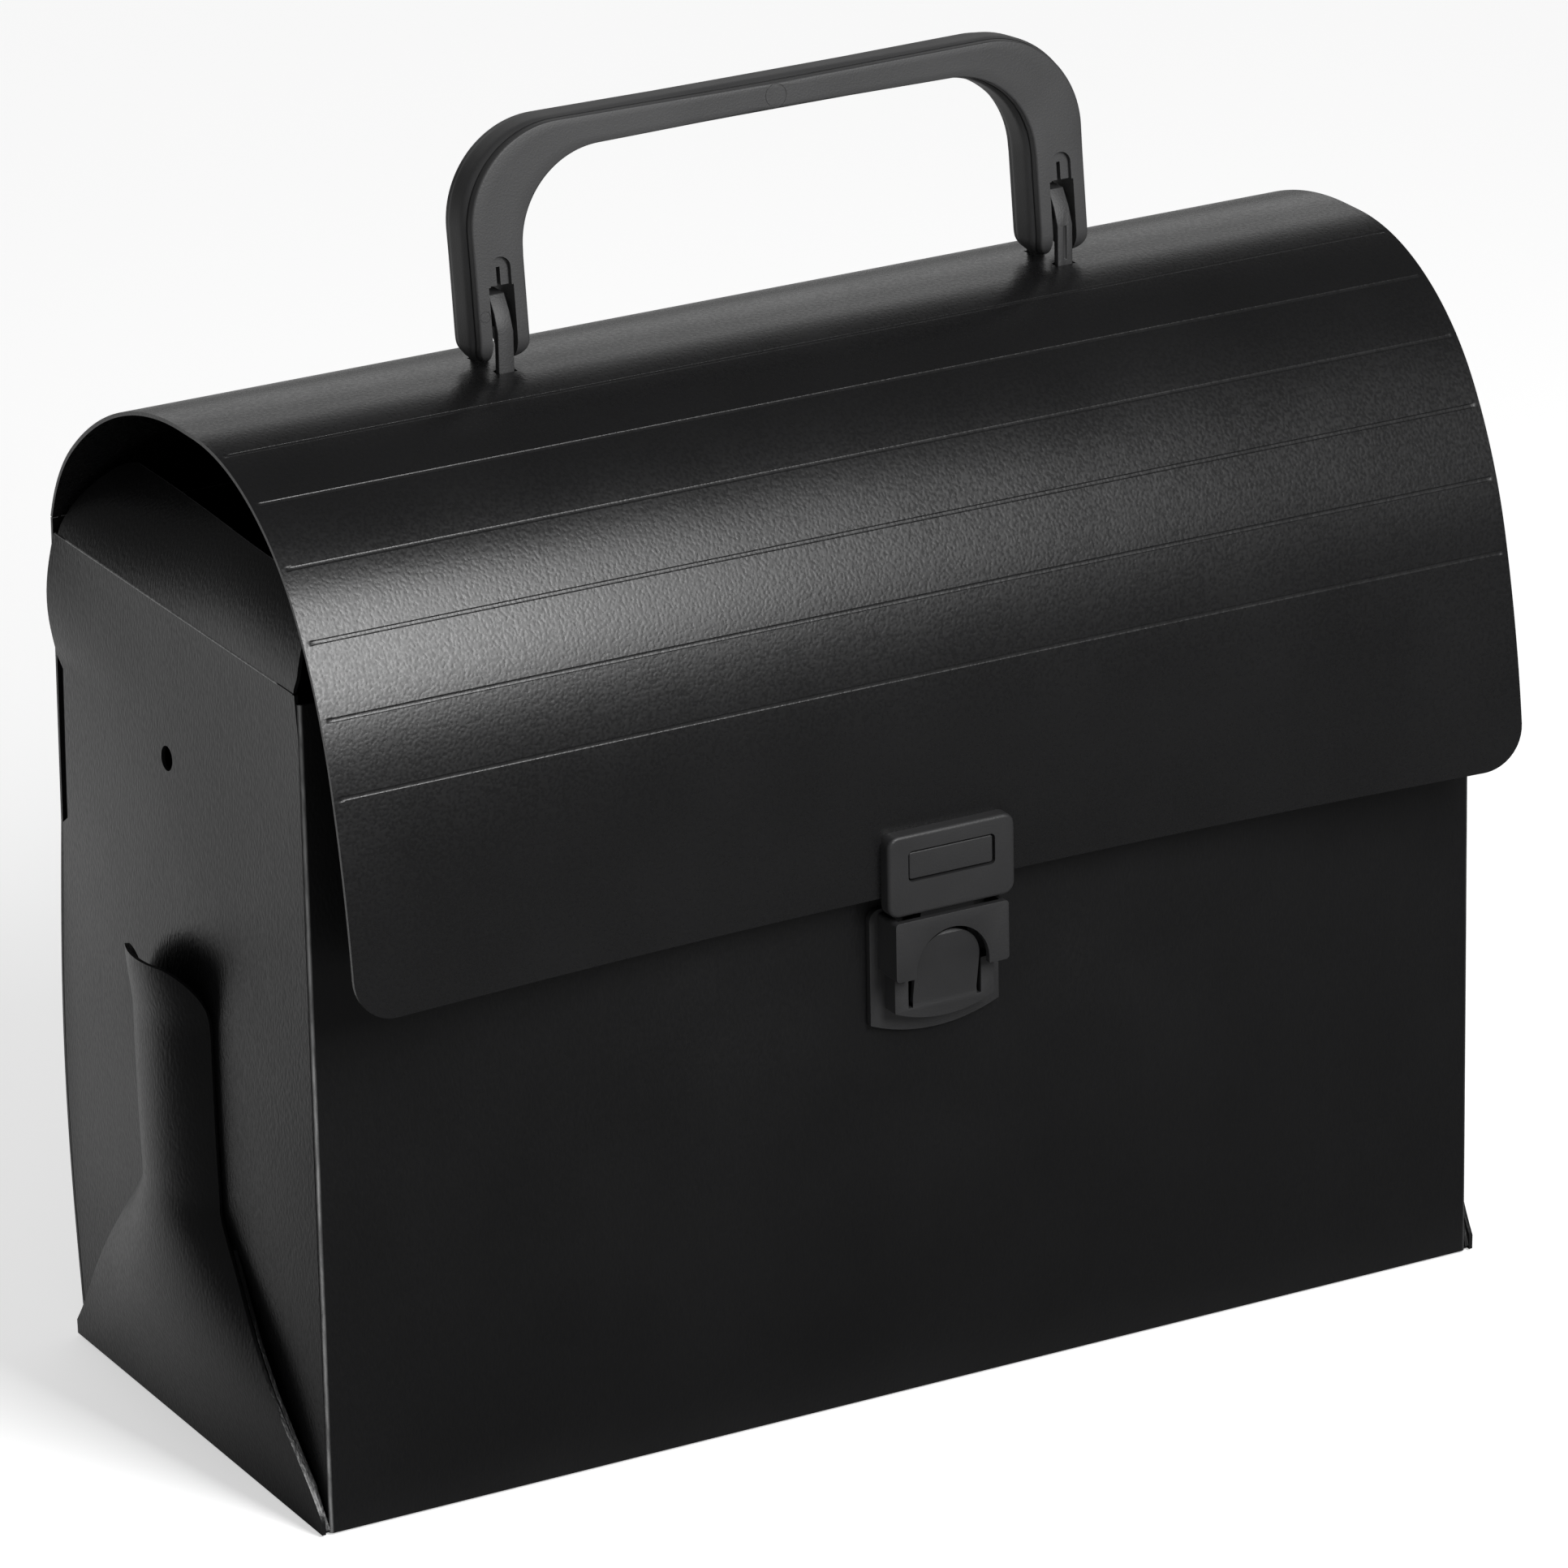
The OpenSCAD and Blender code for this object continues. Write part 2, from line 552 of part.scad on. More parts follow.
module left_dust_flap() { dust_flap(); }
module right_dust_flap() { on_right() dust_flap(); }

// ---- Handle ----
pivot_z = ridge_z + pivot_rise;
leg_x = (handle_w - leg_w) / 2;
handle_top = pivot_z + handle_rise;
full_d = handle_d + 2 * pad_rise;
hook_outer = hook_gap + 2 * hook_t;
loop_r = hook_gap / 2;
loop_top = pivot_z + bar_d / 2 + run_gap;
loop_centre = loop_top - loop_r;
shoulder_z = loop_centre + 0.5;
fork_top = norm([hook_outer / 2, shoulder_z - pivot_z]) + fork_play;
fork_recess = fork_top + recess_h;

module round_plate(w, h, t, r) {
    // plate in the XZ plane, centred, thickness t towards +Y
    rotate([-90, 0, 0]) linear_extrude(t) union() {
        square([w - 2 * r, h], center = true);
        square([w, h - 2 * r], center = true);
        for (x = [-1, 1], y = [-1, 1]) translate([x * (w / 2 - r), y * (h / 2 - r)]) circle(r = r);
    }
}

// pair of points, outer and inner, at each station along the handle's left half
function corner_pts(a) = [
    [-handle_w / 2 + handle_outer_r * (1 - cos(a)), handle_top - handle_outer_r * (1 - sin(a))],
    [-handle_w / 2 + leg_w + handle_inner_r * (1 - cos(a)),
        handle_top - grip_h - handle_inner_r * (1 - sin(a))]];
leg_low = pivot_z - leg_reach;
function leg_pts(z) = [[-handle_w / 2, z], [-handle_w / 2 + leg_w, z]];
function half_stations() = concat(
    [for (z = [leg_low, pivot_z + fork_recess]) leg_pts(z)],
    [for (a = [0:10:90]) corner_pts(a)]);
function flip(p) = [-p[0], p[1]];
// full run of stations, from the left leg over the grip to the right leg
function handle_stations() = let (half = half_stations(), n = len(half))
    concat(half, [for (i = [n - 1:-1:0]) [flip(half[i][0]), flip(half[i][1])]]);

// rounded section between an outer and an inner point, whose rounding its wall may limit
function section(outer, inner) = let (w = norm(outer - inner), dir = unit(inner - outer),
    r = min(handle_edge_r, 0.48 * min(w, handle_d)),
    hw = w / 2 - r, hd = handle_d / 2 - r, mid = (outer + inner) / 2)
    [for (q = [0:3], a = [0:18:90]) let (
        sx = q == 0 || q == 3 ? 1 : -1,
        sy = q < 2 ? 1 : -1,
        along = sx * hw + r * cos(90 * q + a),
        deep = sy * hd + r * sin(90 * q + a))
        [mid[0] + dir[0] * along, -pivot_y + deep, mid[1] + dir[1] * along]];

module loft(rings) {
    n = len(rings[0]);
    m = len(rings);
    polyhedron(points = [for (ring = rings) each ring],
        faces = concat(
            [[for (j = [0:n - 1]) j]],
            [[for (j = [n - 1:-1:0]) (m - 1) * n + j]],
            [for (i = [0:m - 2], j = [0:n - 1]) let (k = (j + 1) % n)
                each [[i * n + j, (i + 1) * n + j, (i + 1) * n + k],
                    [i * n + j, (i + 1) * n + k, i * n + k]]]),
        convexity = 6);
}

// raised pads on the front and back faces
module handle_pads() {
    pad = [for (s = handle_stations()) let (dir = unit(s[1] - s[0]))
        [s[0] + dir * pad_inset, s[1] - dir * pad_inset]];
    n = len(pad);
    translate([0, -pivot_y + full_d / 2, 0]) rotate([90, 0, 0]) linear_extrude(full_d)
        polygon(concat([for (p = pad) p[0]], [for (i = [n - 1:-1:0]) pad[i][1]]));
}

// what rounding takes off a corner at the origin of the first quadrant
module off_corner(r) {
    difference() {
        translate([-1, -1]) square(r + 1);
        translate([r, r]) circle(r = r);
    }
}

// rounds the legs' ends, seen from the side and from the front
module leg_rounding() {
    for (side = [-1, 1])
        translate([-handle_w / 2 - 1, -pivot_y + side * full_d / 2, leg_low])
            rotate([90, 0, 90]) linear_extrude(handle_w + 2)
                mirror([side < 0 ? 0 : 1, 0]) off_corner(leg_end_r);
    for (side = [-1, 1], edge = [-1, 1])
        translate([side * leg_x + edge * leg_w / 2, -pivot_y + full_d / 2 + 1, leg_low])
            rotate([90, 0, 0]) linear_extrude(full_d + 2)
                mirror([edge < 0 ? 0 : 1, 0]) off_corner(leg_tip_r);
}

module fork_cut(side) {
    r = recess_w / 2;
    slot_d = 1.6;        // depth of the slot below the recess
    translate([side * leg_x, -pivot_y, 0]) {
        // open fork from the leg's end up to the web
        translate([-fork_w / 2, -full_d / 2 - 1, leg_low - 1])
            cube([fork_w, full_d + 2, pivot_z + fork_top - leg_low + 1]);
        // arched recess in each face above it, with a slot down its middle
        for (face = [-1, 1])
            translate([0, face * full_d / 2, pivot_z]) {
                translate([0, recess_d, fork_recess - r])
                    rotate([90, 0, 0]) cylinder(r = r, h = 2 * recess_d);
                translate([-r, -recess_d, fork_top - 1])
                    cube([recess_w, 2 * recess_d, recess_h - r + 1]);
                translate([-recess_slot / 2, -recess_d - slot_d, fork_top - 1])
                    cube([recess_slot, 2 * (recess_d + slot_d), recess_h - r / 2]);
            }
    }
}

module handle() {
    color(handle_grey) translate([0, -pivot_y, pivot_z]) rotate([-handle_lean, 0, 0])
        translate([0, pivot_y, -pivot_z]) {
        difference() {
            union() {
                loft([for (s = handle_stations()) section(s[0], s[1])]);
                handle_pads();
            }
            leg_rounding();
            for (side = [-1, 1]) fork_cut(side);
        }
        // cross bars, each let into both prongs of its fork
        for (side = [-1, 1])
            translate([side * leg_x - fork_w / 2 - 1, -pivot_y, pivot_z])
                rotate([0, 90, 0]) cylinder(d = bar_d, h = fork_w + 2);
    }
}

// ---- Hooks: staples that hold the cross bars and pass down through the lid ----
retainer_half = hook_outer / 2 + 3;
// the retainer's flat top meets the lid's inner face at its own front and back edges
function arc_drop(r, d) = r - sqrt(r ^ 2 - max(0, d) ^ 2);
ridge_back_y = lid_root[0] - back_span;
retainer_drop = max(arc_drop(back_slope_r - sheet_t, retainer_half - pivot_y - ridge_back_y),
    arc_drop(ridge_r - sheet_t, retainer_half + pivot_y + ridge_back_y - ridge_flat));
facet_play = 0.12;
retainer_top = ridge_z - sheet_t - retainer_drop - facet_play;
barb = 0.8;
barb_h = 2;
hook_foot = retainer_top - retainer_t - fit_gap - barb_h;

module hook_legs(side, play) {
    for (leg = [-1, 1])
        translate([side * leg_x - hook_w / 2 - play,
            -pivot_y + leg * (hook_gap / 2 + hook_t / 2) - hook_t / 2 - play, hook_foot + barb_h])
            cube([hook_w + 2 * play, hook_t + 2 * play, loop_centre - hook_foot - barb_h]);
}

module hook(side) {
    crown_half = 2.7;
    rise = loop_top + hook_crown;
    // the strap bows out a little between its shoulder and its crown
    bow_half = mix(hook_outer / 2, crown_half, 0.5) + 0.35;
    bow_z = mix(shoulder_z, rise, 0.5) + 0.2;
    color(handle_grey) difference() {
        translate([side * leg_x - hook_w / 2, -pivot_y, 0]) rotate([90, 0, 90]) linear_extrude(hook_w)
            difference() {
                polygon([[-hook_outer / 2, hook_foot + barb_h], [-hook_outer / 2, shoulder_z],
                    [-bow_half, bow_z], [-crown_half, rise], [crown_half, rise], [bow_half, bow_z],
                    [hook_outer / 2, shoulder_z], [hook_outer / 2, hook_foot + barb_h],
                    [hook_outer / 2 + barb, hook_foot + barb_h], [hook_outer / 2 - 0.5, hook_foot],
                    [-hook_outer / 2 + 0.5, hook_foot], [-hook_outer / 2 - barb, hook_foot + barb_h]]);
                translate([-hook_gap / 2, hook_foot - 1]) square([hook_gap, loop_centre - hook_foot + 1]);
                translate([0, loop_centre]) circle(r = loop_r);
            }
        // groove on the outer face of one leg
        translate([side * leg_x - hook_groove / 2,
            -pivot_y - side * hook_outer / 2 - 0.3, ridge_z + 1])
            cube([hook_groove, 0.6, shoulder_z - ridge_z - 1]);
    }
}

module left_hook() { hook(-1); }
module right_hook() { hook(1); }

module hook_retainer(side) {
    color(handle_grey) difference() {
        translate([side * leg_x, -pivot_y, retainer_top - retainer_t]) linear_extrude(retainer_t)
            union() {
                square([retainer_w, 2 * retainer_half - 4], center = true);
                square([retainer_w - 4, 2 * retainer_half], center = true);
                for (x = [-1, 1], y = [-1, 1])
                    translate([x * (retainer_w / 2 - 2), y * (retainer_half - 2)]) circle(r = 2);
            }
        hook_legs(side, fit_gap / 2);
    }
}

module left_hook_retainer() { hook_retainer(-1); }
module right_hook_retainer() { hook_retainer(1); }

// ---- Lock ----
hasp_low = lock_z + 0.3;
hasp_mid_z = hasp_low + hasp_h / 2 + 1.8;
flange_y = seat_y - flange_t;
low_y = flange_y - catch_low_d;
brow_y = flange_y - brow_d;
brow_top = lock_z - 0.9;
button_drop = 6.6;       // distance of the release tongue's hinge below the brow
button_z = brow_top - brow_h - button_drop;
button_y = low_y + catch_wall / 2;
backing_t = 1.5;         // thickness of both backing plates
post_root = 0.5;         // how far a post is let into its plate
hasp_post = 0.6;         // hasp post diameter over catch post diameter

// block in the XZ plane: width, height, centre height, front and back y, corner radius
module lock_block(w, h, z, front, back, r) {
    translate([0, front, z])
        if (r > 0) round_plate(w, h, back - front, r);
        else translate([-w / 2, 0, -h / 2]) cube([w, back - front, h]);
}

// posts that pass through the front panel below and beside the release tongue
module catch_posts(d) {
    low_posts = [[-6, button_z - 3.6], [6, button_z - 3.6]];
    high_x = flange_w / 2 - post_d / 2 - 1;
    high_posts = [[-high_x, brow_top - 3.6], [high_x, brow_top - 3.6]];
    for (p = concat(low_posts, high_posts))
        translate([p[0], flange_y + post_root, p[1]])
            rotate([-90, 0, 0]) cylinder(d = d, h = flange_t + sheet_t + backing_t - post_root + 0.7);
}

// posts on the hasp backing, in the rims beside the window
module hasp_posts(d) {
    rim = (hasp_w - window_w) / 2;
    for (x = [-1, 1])
        translate([x * (window_w / 2 + rim / 2 - 0.35), hasp_y - hasp_t / 2, hasp_mid_z])
            rotate([-90, 0, 0])
                cylinder(d = hasp_post * d, h = hasp_t / 2 + sheet_t + post_root);
}

// body with a bottom edge that is an arc of the given rise
module arced_block(w, low, high, front, back, r, arc_rise) {
    arc_r = ((w / 2) ^ 2 + arc_rise ^ 2) / (2 * arc_rise);
    intersection() {
        lock_block(w, high - low, (high + low) / 2, front, back, r);
        translate([0, front - 1, low + arc_r])
            rotate([-90, 0, 0]) cylinder(r = arc_r, h = back - front + 2, $fn = 96);
    }
}

module arch_cut(half, top, low, front, back) {
    translate([0, front, top - half]) rotate([-90, 0, 0]) cylinder(r = half, h = back - front);
    translate([-half, front, low]) cube([2 * half, back - front, top - half - low]);
}

module catch_housing() {
    arch_half = button_w / 2 + button_gap;
    arch_top = brow_top - 3;
    inner_low = button_z - catch_wall / 2 - 0.15;
    low_end = button_z - 3.8;
    flange_arc = 3;
    low_arc = 2.4;
    color(lock_grey) {
        difference() {
            union() {
                arced_block(flange_w, lock_z - flange_h, lock_z - 0.2, flange_y, seat_y, hasp_r, flange_arc);
                arced_block(catch_w, low_end, brow_top - 2, low_y, flange_y, 2, low_arc);
                lock_block(brow_w, brow_h, brow_top - brow_h / 2, brow_y, flange_y, 0.8);
            }
            // hollow behind the lower front wall and behind the brow
            translate([-catch_w / 2 + catch_wall, low_y + catch_wall, inner_low])
                cube([catch_w - 2 * catch_wall, catch_low_d - catch_wall + flange_t + eps,
                    brow_top - inner_low - brow_h + 2]);
            translate([-brow_w / 2 + catch_wall, brow_y + catch_wall, brow_top - brow_h])
                cube([brow_w - 2 * catch_wall, brow_d - catch_wall - 0.5, brow_h + 1]);
            translate([-button_w / 2, seat_y - flange_t - 1, inner_low])
                cube([button_w, flange_t + 1 + eps, brow_top - 1 - inner_low]);
            // arch in the brow, and the window that the release tongue fills
            arch_cut(arch_half, arch_top, brow_top - brow_h - 1, brow_y - 1, brow_y + catch_wall + 0.5);
            translate([-button_w / 2 - button_gap, low_y - 1, inner_low])
                cube([button_w + 2 * button_gap, catch_wall + 1.5, brow_top + 2 - inner_low]);
        }
        catch_posts(post_d);
    }
}

module catch_backing() {
    color(lock_grey) difference() {
        lock_block(flange_w, flange_h - 1.5, lock_z - flange_h / 2 + 0.25, seat_y + sheet_t,
            seat_y + sheet_t + backing_t, hasp_r);
        catch_posts(post_d);
    }
}

module release_tongue() {
    half = button_w / 2;
    top = button_z + button_h;
    lip_y = hasp_y + 3;
    lip_t = 0.8;
    nose_w = 6;
    nose_h = 4;
    tip_t = 1;           // thickness of the tongue's top
    color(lock_grey) {
        translate([-half, button_y, button_z]) rotate([0, 90, 0]) cylinder(d = catch_wall, h = button_w);
        // round-topped tongue whose face leans out towards its top
        intersection() {
            union() {
                translate([-half, brow_y, button_z]) cube([button_w, brow_d, button_h - half]);
                translate([0, brow_y, top - half]) rotate([-90, 0, 0]) cylinder(r = half, h = brow_d);
            }
            translate([-half, 0, 0]) rotate([90, 0, 90]) linear_extrude(button_w)
                polygon([[low_y + catch_wall, button_z], [low_y, button_z], [low_y, button_z + 1],
                    [low_y - button_lean, top - 0.6], [low_y - button_lean + 0.4, top],
                    [low_y - button_lean + tip_t, top]]);
        }
        // latch nose behind the tongue's top
        translate([-nose_w / 2, low_y - button_lean + tip_t, top - nose_h - 1])
            cube([nose_w, lip_y - low_y + button_lean - tip_t + lip_t, nose_h]);
        translate([-nose_w / 2, lip_y, top - nose_h / 2]) cube([nose_w, lip_t, nose_h]);
    }
}

module hasp_plate() {
    prong_w = 12;
    prong_low = brow_top - 4.6;
    boss_z = lid_edge_z - 0.4;
    color(lock_grey) difference() {
        union() {
            lock_block(hasp_w, hasp_h, hasp_low + hasp_h / 2, hasp_y - hasp_t + 0.8, hasp_y, hasp_r);
            lock_block(hasp_w - 1.6, hasp_h - 1.6, hasp_low + hasp_h / 2, hasp_y - hasp_t, hasp_y, hasp_r - 0.8);
            // boss and wedge-shaped prong below the lid's edge
            translate([-prong_w / 2, 0, 0]) rotate([90, 0, 90]) linear_extrude(prong_w)
                polygon([[hasp_y - 1, boss_z], [hasp_y - 1, hasp_low], [hasp_y - 1, brow_top + 0.2],
                    [hasp_y + 1.3, prong_low], [hasp_y + 2.3, prong_low], [hasp_y + 2.6, prong_low + 1.2],
                    [hasp_y + 2.3, prong_low + 1.6], [hasp_y + 2.3, boss_z]]);
        }
        lock_block(window_w, window_h, hasp_mid_z, hasp_y - hasp_t - 1, hasp_y + 1, 1);
        hasp_posts(post_d);
    }
}

module hasp_backing() {
    color(lock_grey) {
        lock_block(hasp_w - 3, hasp_h - 5.5, hasp_mid_z, hasp_y + sheet_t, hasp_y + sheet_t + backing_t, 2);
        lock_block(window_w - 2 * window_gap, window_h - 2 * window_gap, hasp_mid_z,
            hasp_y - hasp_t + 0.3, hasp_y + sheet_t + 0.5, 0.4);
        hasp_posts(post_d);
    }
}

front_panel();
back_panel();
bottom_panel();
left_end_panel();
right_end_panel();
left_side_flap();
right_side_flap();
left_front_web();
left_back_web();
right_front_web();
right_back_web();
left_bottom_flap();
right_bottom_flap();
catch_housing();
catch_backing();
left_dust_flap();
right_dust_flap();
release_tongue();
lid();
hasp_plate();
hasp_backing();
left_hook();
right_hook();
left_hook_retainer();
right_hook_retainer();
handle();
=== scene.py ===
"""Carry case with a barrel lid: fine creased sheets, moulded parts, materials and a soft studio,
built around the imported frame. Shape functions work in millimetres, Blender objects in metres."""
import json
import math

import bmesh
import bpy
import numpy as np
from mathutils import Matrix, Vector


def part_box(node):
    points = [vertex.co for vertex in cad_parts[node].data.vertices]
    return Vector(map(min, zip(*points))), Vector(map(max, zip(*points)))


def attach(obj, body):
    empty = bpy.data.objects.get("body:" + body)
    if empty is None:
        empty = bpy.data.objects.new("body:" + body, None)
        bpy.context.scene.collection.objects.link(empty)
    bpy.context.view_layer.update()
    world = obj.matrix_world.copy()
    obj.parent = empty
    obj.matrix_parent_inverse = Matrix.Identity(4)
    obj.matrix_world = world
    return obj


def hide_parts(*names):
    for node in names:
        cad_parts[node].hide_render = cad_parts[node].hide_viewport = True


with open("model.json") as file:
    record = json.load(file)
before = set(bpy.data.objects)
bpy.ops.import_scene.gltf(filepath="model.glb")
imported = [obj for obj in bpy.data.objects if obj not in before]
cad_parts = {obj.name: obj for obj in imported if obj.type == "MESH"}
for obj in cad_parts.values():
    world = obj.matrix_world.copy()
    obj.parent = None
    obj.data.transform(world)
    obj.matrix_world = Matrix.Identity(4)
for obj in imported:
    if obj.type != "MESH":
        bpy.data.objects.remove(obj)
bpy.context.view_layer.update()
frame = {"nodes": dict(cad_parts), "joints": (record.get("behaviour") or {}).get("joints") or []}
nodes = frame["nodes"]
MM = 0.001

# ---------------------------------------------------------------- sizes, in millimetres


def corners(node):
    """Lowest and highest corner of a CAD node, in millimetres."""
    low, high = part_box(node)
    return np.array(low) / MM, np.array(high) / MM


def joint(name):
    """Place of a joint, in millimetres."""
    return np.array([j["pos_m"] for j in frame["joints"] if j["name"] == name][0]) / MM


front_low, front_high = corners("front_panel")
base_high = corners("bottom_panel")[1]
back_high = corners("back_panel")[1]
end_high = corners("left_end_panel")[1]
catch_low, catch_high = corners("catch_housing")
handle_half = corners("handle")[1][0]
hinge = joint("lid_hinge")
pivot = joint("handle_swing")
press = joint("release_press")

SHEET = base_high[2]                    # thickness of the sheet
HALF_W = front_high[0]
HALF_D = base_high[1] + SHEET
FRONT_H = front_high[2]
END_H = end_high[2]
BACK_H = back_high[2]
FRONT_BOW = -front_low[1] - HALF_D      # bulge of the front panel at the lock
BACK_BOW = 3.0
END_BOW = 3.8
CORNER_BULGE = 4.0                      # bulge of the back corner edges
RELIEF_LOW, RELIEF_HIGH, RELIEF_DEPTH, RELIEF_SLOPE = 112.0, 148.0, 3.0, 2.0
EAR_SPRING = 2.2
NOTCH_H, NOTCH_W = 8.0, 1.0             # relief at the front top corner of an end panel
CREASE_GAP = 0.3
LAYER_PLAY = 0.05
LAYER = SHEET + LAYER_PLAY              # pitch of folded layers
STRAP_HOLE_R, STRAP_HOLE_Z = 2.5, 144.0

LOCK_GAP, SEAT_BORDER = 0.2, 1.0
LOCK_Z = catch_high[2] + LOCK_GAP       # parting line of the lock
SEAT_Z = catch_low[2]
SEAT_HALF = (catch_high[0] - catch_low[0]) / 2 + SEAT_BORDER
EASE_RISE, FRONT_EASE = 15.0, 0.4       # the front's bulge eases from this far over the parting line
EASE_Z = LOCK_Z + EASE_RISE

CREASE_PITCH, CREASE_FIRST = 15.0, 11.3
CREASE_HALF, CREASE_WALL, CREASE_DEPTH = 0.5, 0.09, 0.13
CREASE_FLOOR = 0.1                      # a crease is whitened, partly as a painted highlight, where it is deeper than this
# CREASE_WHITE_AND_HIGHLIGHT: the lid creases' stress whitening, partly a painted highlight that draws them
# as light lines; BEAD_WHITE: the hinge bead's whitening
CREASE_WHITE_AND_HIGHLIGHT, BEAD_WHITE = 0.035, 0.45
CREASE_END, CREASE_FADE = 1.5, 0.4      # distance from a crease's end to the sheet's edge; half its fade
LID_CORNER_R = 9.0
WHITE_END, WHITE_FADE = 47.0, 0.5       # how far a dust flap's crease is whitened from the middle
HOOK_LEG_Y, HOOK_T = 5.5, 1.5           # a hook's legs: distance from the pivot, and thickness
HOOK_SHOULDER = 1.75                    # how far a hook's shoulders lie below the pivot

# ---------------------------------------------------------------- materials


def new_material(name):
    material = bpy.data.materials.new(name)
    material.use_nodes = True
    tree = material.node_tree
    return material, tree, tree.nodes["Principled BSDF"]


def noise(tree, stretch, detail=2.0, rough=0.5):
    """Noise over the object's coordinates, finer along an axis that is stretched more."""
    coords = tree.nodes.new("ShaderNodeTexCoord")
    mapping = tree.nodes.new("ShaderNodeMapping")
    mapping.inputs["Scale"].default_value = stretch
    tree.links.new(coords.outputs["Object"], mapping.inputs["Vector"])
    node = tree.nodes.new("ShaderNodeTexNoise")
    node.inputs["Scale"].default_value = 1.0
    node.inputs["Detail"].default_value = detail
    node.inputs["Roughness"].default_value = rough
    tree.links.new(mapping.outputs["Vector"], node.inputs["Vector"])
    return node.outputs["Fac"]


def math_node(tree, operation, a, b):
    """Result of an operation on two values, each a number or another node's output."""
    node = tree.nodes.new("ShaderNodeMath")
    node.operation = operation
    for socket, value in zip(node.inputs, (a, b)):
        if isinstance(value, (int, float)):
            socket.default_value = value
        else:
            tree.links.new(value, socket)
    return node.outputs[0]


def ramp(tree, value, low, high, out_low, out_high):
    """Value, taken from the range low to high into the range out_low to out_high, and clamped."""
    node = tree.nodes.new("ShaderNodeMapRange")
    node.inputs["From Min"].default_value = low
    node.inputs["From Max"].default_value = high
    node.inputs["To Min"].default_value = out_low
    node.inputs["To Max"].default_value = out_high
    tree.links.new(value, node.inputs["Value"])
    return node.outputs["Result"]


def blend_colour(tree, share, a, b):
    """Mix of two colours, each a triple or another node's output."""
    node = tree.nodes.new("ShaderNodeMix")
    node.data_type = "RGBA"
    tree.links.new(share, node.inputs["Factor"])
    for socket, colour in (("A", a), ("B", b)):
        if isinstance(colour, tuple):
            node.inputs[socket].default_value = (*colour, 1)
        else:
            tree.links.new(colour, node.inputs[socket])
    return node.outputs["Result"]


def bump(tree, shader, height, distance):
    node = tree.nodes.new("ShaderNodeBump")
    node.inputs["Distance"].default_value = distance
    tree.links.new(height, node.inputs["Height"])
    tree.links.new(node.outputs["Normal"], shader.inputs["Normal"])


NOISE_BAND = (0.3, 0.7)                 # where most values of a noise lie
CLOUDS, FLOW_MARKS = (30, 30, 30), (45, 60, 45)
WHITE_PATCHES, PATCH_BAND = (900, 900, 160), (0.35, 0.65)
SPARK_GRAIN, SPARK_HEIGHT = (2600, 2600, 2600), 0.00005


def sheet_material(name, colour, whitened_and_highlight_colour, rough, grain, grain_height):
    """Creased polypropylene sheet: embossed grain, uneven gloss, stress-whitened folds, and painted
    highlights on the lid's creases and the dust flaps' top edges.
    """
    material, tree, shader = new_material(name)
    fine = noise(tree, grain, 0.6)
    cloud = noise(tree, CLOUDS)
    attribute = tree.nodes.new("ShaderNodeAttribute")
    attribute.attribute_name = "whitening_and_highlight"
    patchy = ramp(tree, noise(tree, WHITE_PATCHES, 3.0), *PATCH_BAND, 0.45, 1.0)
    # white: share of the whitened colour, for real stress whitening and for painted highlights on creases
    # and edges
    white = math_node(tree, "MULTIPLY", attribute.outputs["Fac"], patchy)
    dark = tuple(0.86 * c for c in colour)
    base = blend_colour(tree, ramp(tree, cloud, *NOISE_BAND, 0, 1), dark, colour)
    tree.links.new(blend_colour(tree, white, base, whitened_and_highlight_colour), shader.inputs["Base Color"])
    uneven = math_node(tree, "ADD", ramp(tree, cloud, *NOISE_BAND, -0.02, 0.02), rough)
    uneven = math_node(tree, "ADD", uneven, ramp(tree, fine, *NOISE_BAND, -0.04, 0.04))
    tree.links.new(uneven, shader.inputs["Roughness"])
    bump(tree, shader, fine, grain_height)
    return material


def moulded_material(name, colour, rough):
    """Matt injection-moulded plastic: spark-eroded grain and faint flow marks."""
    material, tree, shader = new_material(name)
    fine = noise(tree, SPARK_GRAIN, 2.0, 0.55)
    flow = noise(tree, FLOW_MARKS, 3.0)
    dark = tuple(0.8 * c for c in colour)
    base = blend_colour(tree, ramp(tree, flow, *NOISE_BAND, 0, 1), dark, colour)
    tree.links.new(base, shader.inputs["Base Color"])
    uneven = math_node(tree, "ADD", ramp(tree, flow, *NOISE_BAND, -0.03, 0.05), rough)
    tree.links.new(uneven, shader.inputs["Roughness"])
    bump(tree, shader, fine, SPARK_HEIGHT)
    return material


LID_BLACK = sheet_material("lid_sheet_black", colour=(0.009, 0.009, 0.0094), whitened_and_highlight_colour=(0.2, 0.2, 0.2),
                           rough=0.29, grain=(1550, 1200, 1550), grain_height=0.00003)
CASE_BLACK = sheet_material("case_sheet_black", colour=(0.008, 0.008, 0.0084), whitened_and_highlight_colour=(0.3, 0.3, 0.3),
                            rough=0.34, grain=(1800, 1800, 900), grain_height=0.00007)
HANDLE_GREY = moulded_material("handle_grey", (0.05, 0.05, 0.051), 0.5)
HOOK_GREY = moulded_material("hook_grey", (0.034, 0.034, 0.035), 0.5)
LOCK_GREY = moulded_material("lock_grey", (0.026, 0.026, 0.027), 0.48)

# ---------------------------------------------------------------- mesh helpers
SHARP_TURN, HANDLE_SHARP_TURN = 40, 32  # edges that turn by more degrees than this stay sharp


def steps(low, high, count):
    return np.linspace(low, high, count + 1)


def spaced(low, high, gap):
    """Values from low to high, about gap apart."""
    return steps(low, high, max(1, int(round(abs(high - low) / gap))))


def grid(rows, cols, point):
    """Array of point(row value, column value) over both lists."""
    return np.array([[point(r, c) for c in cols] for r in rows], float)


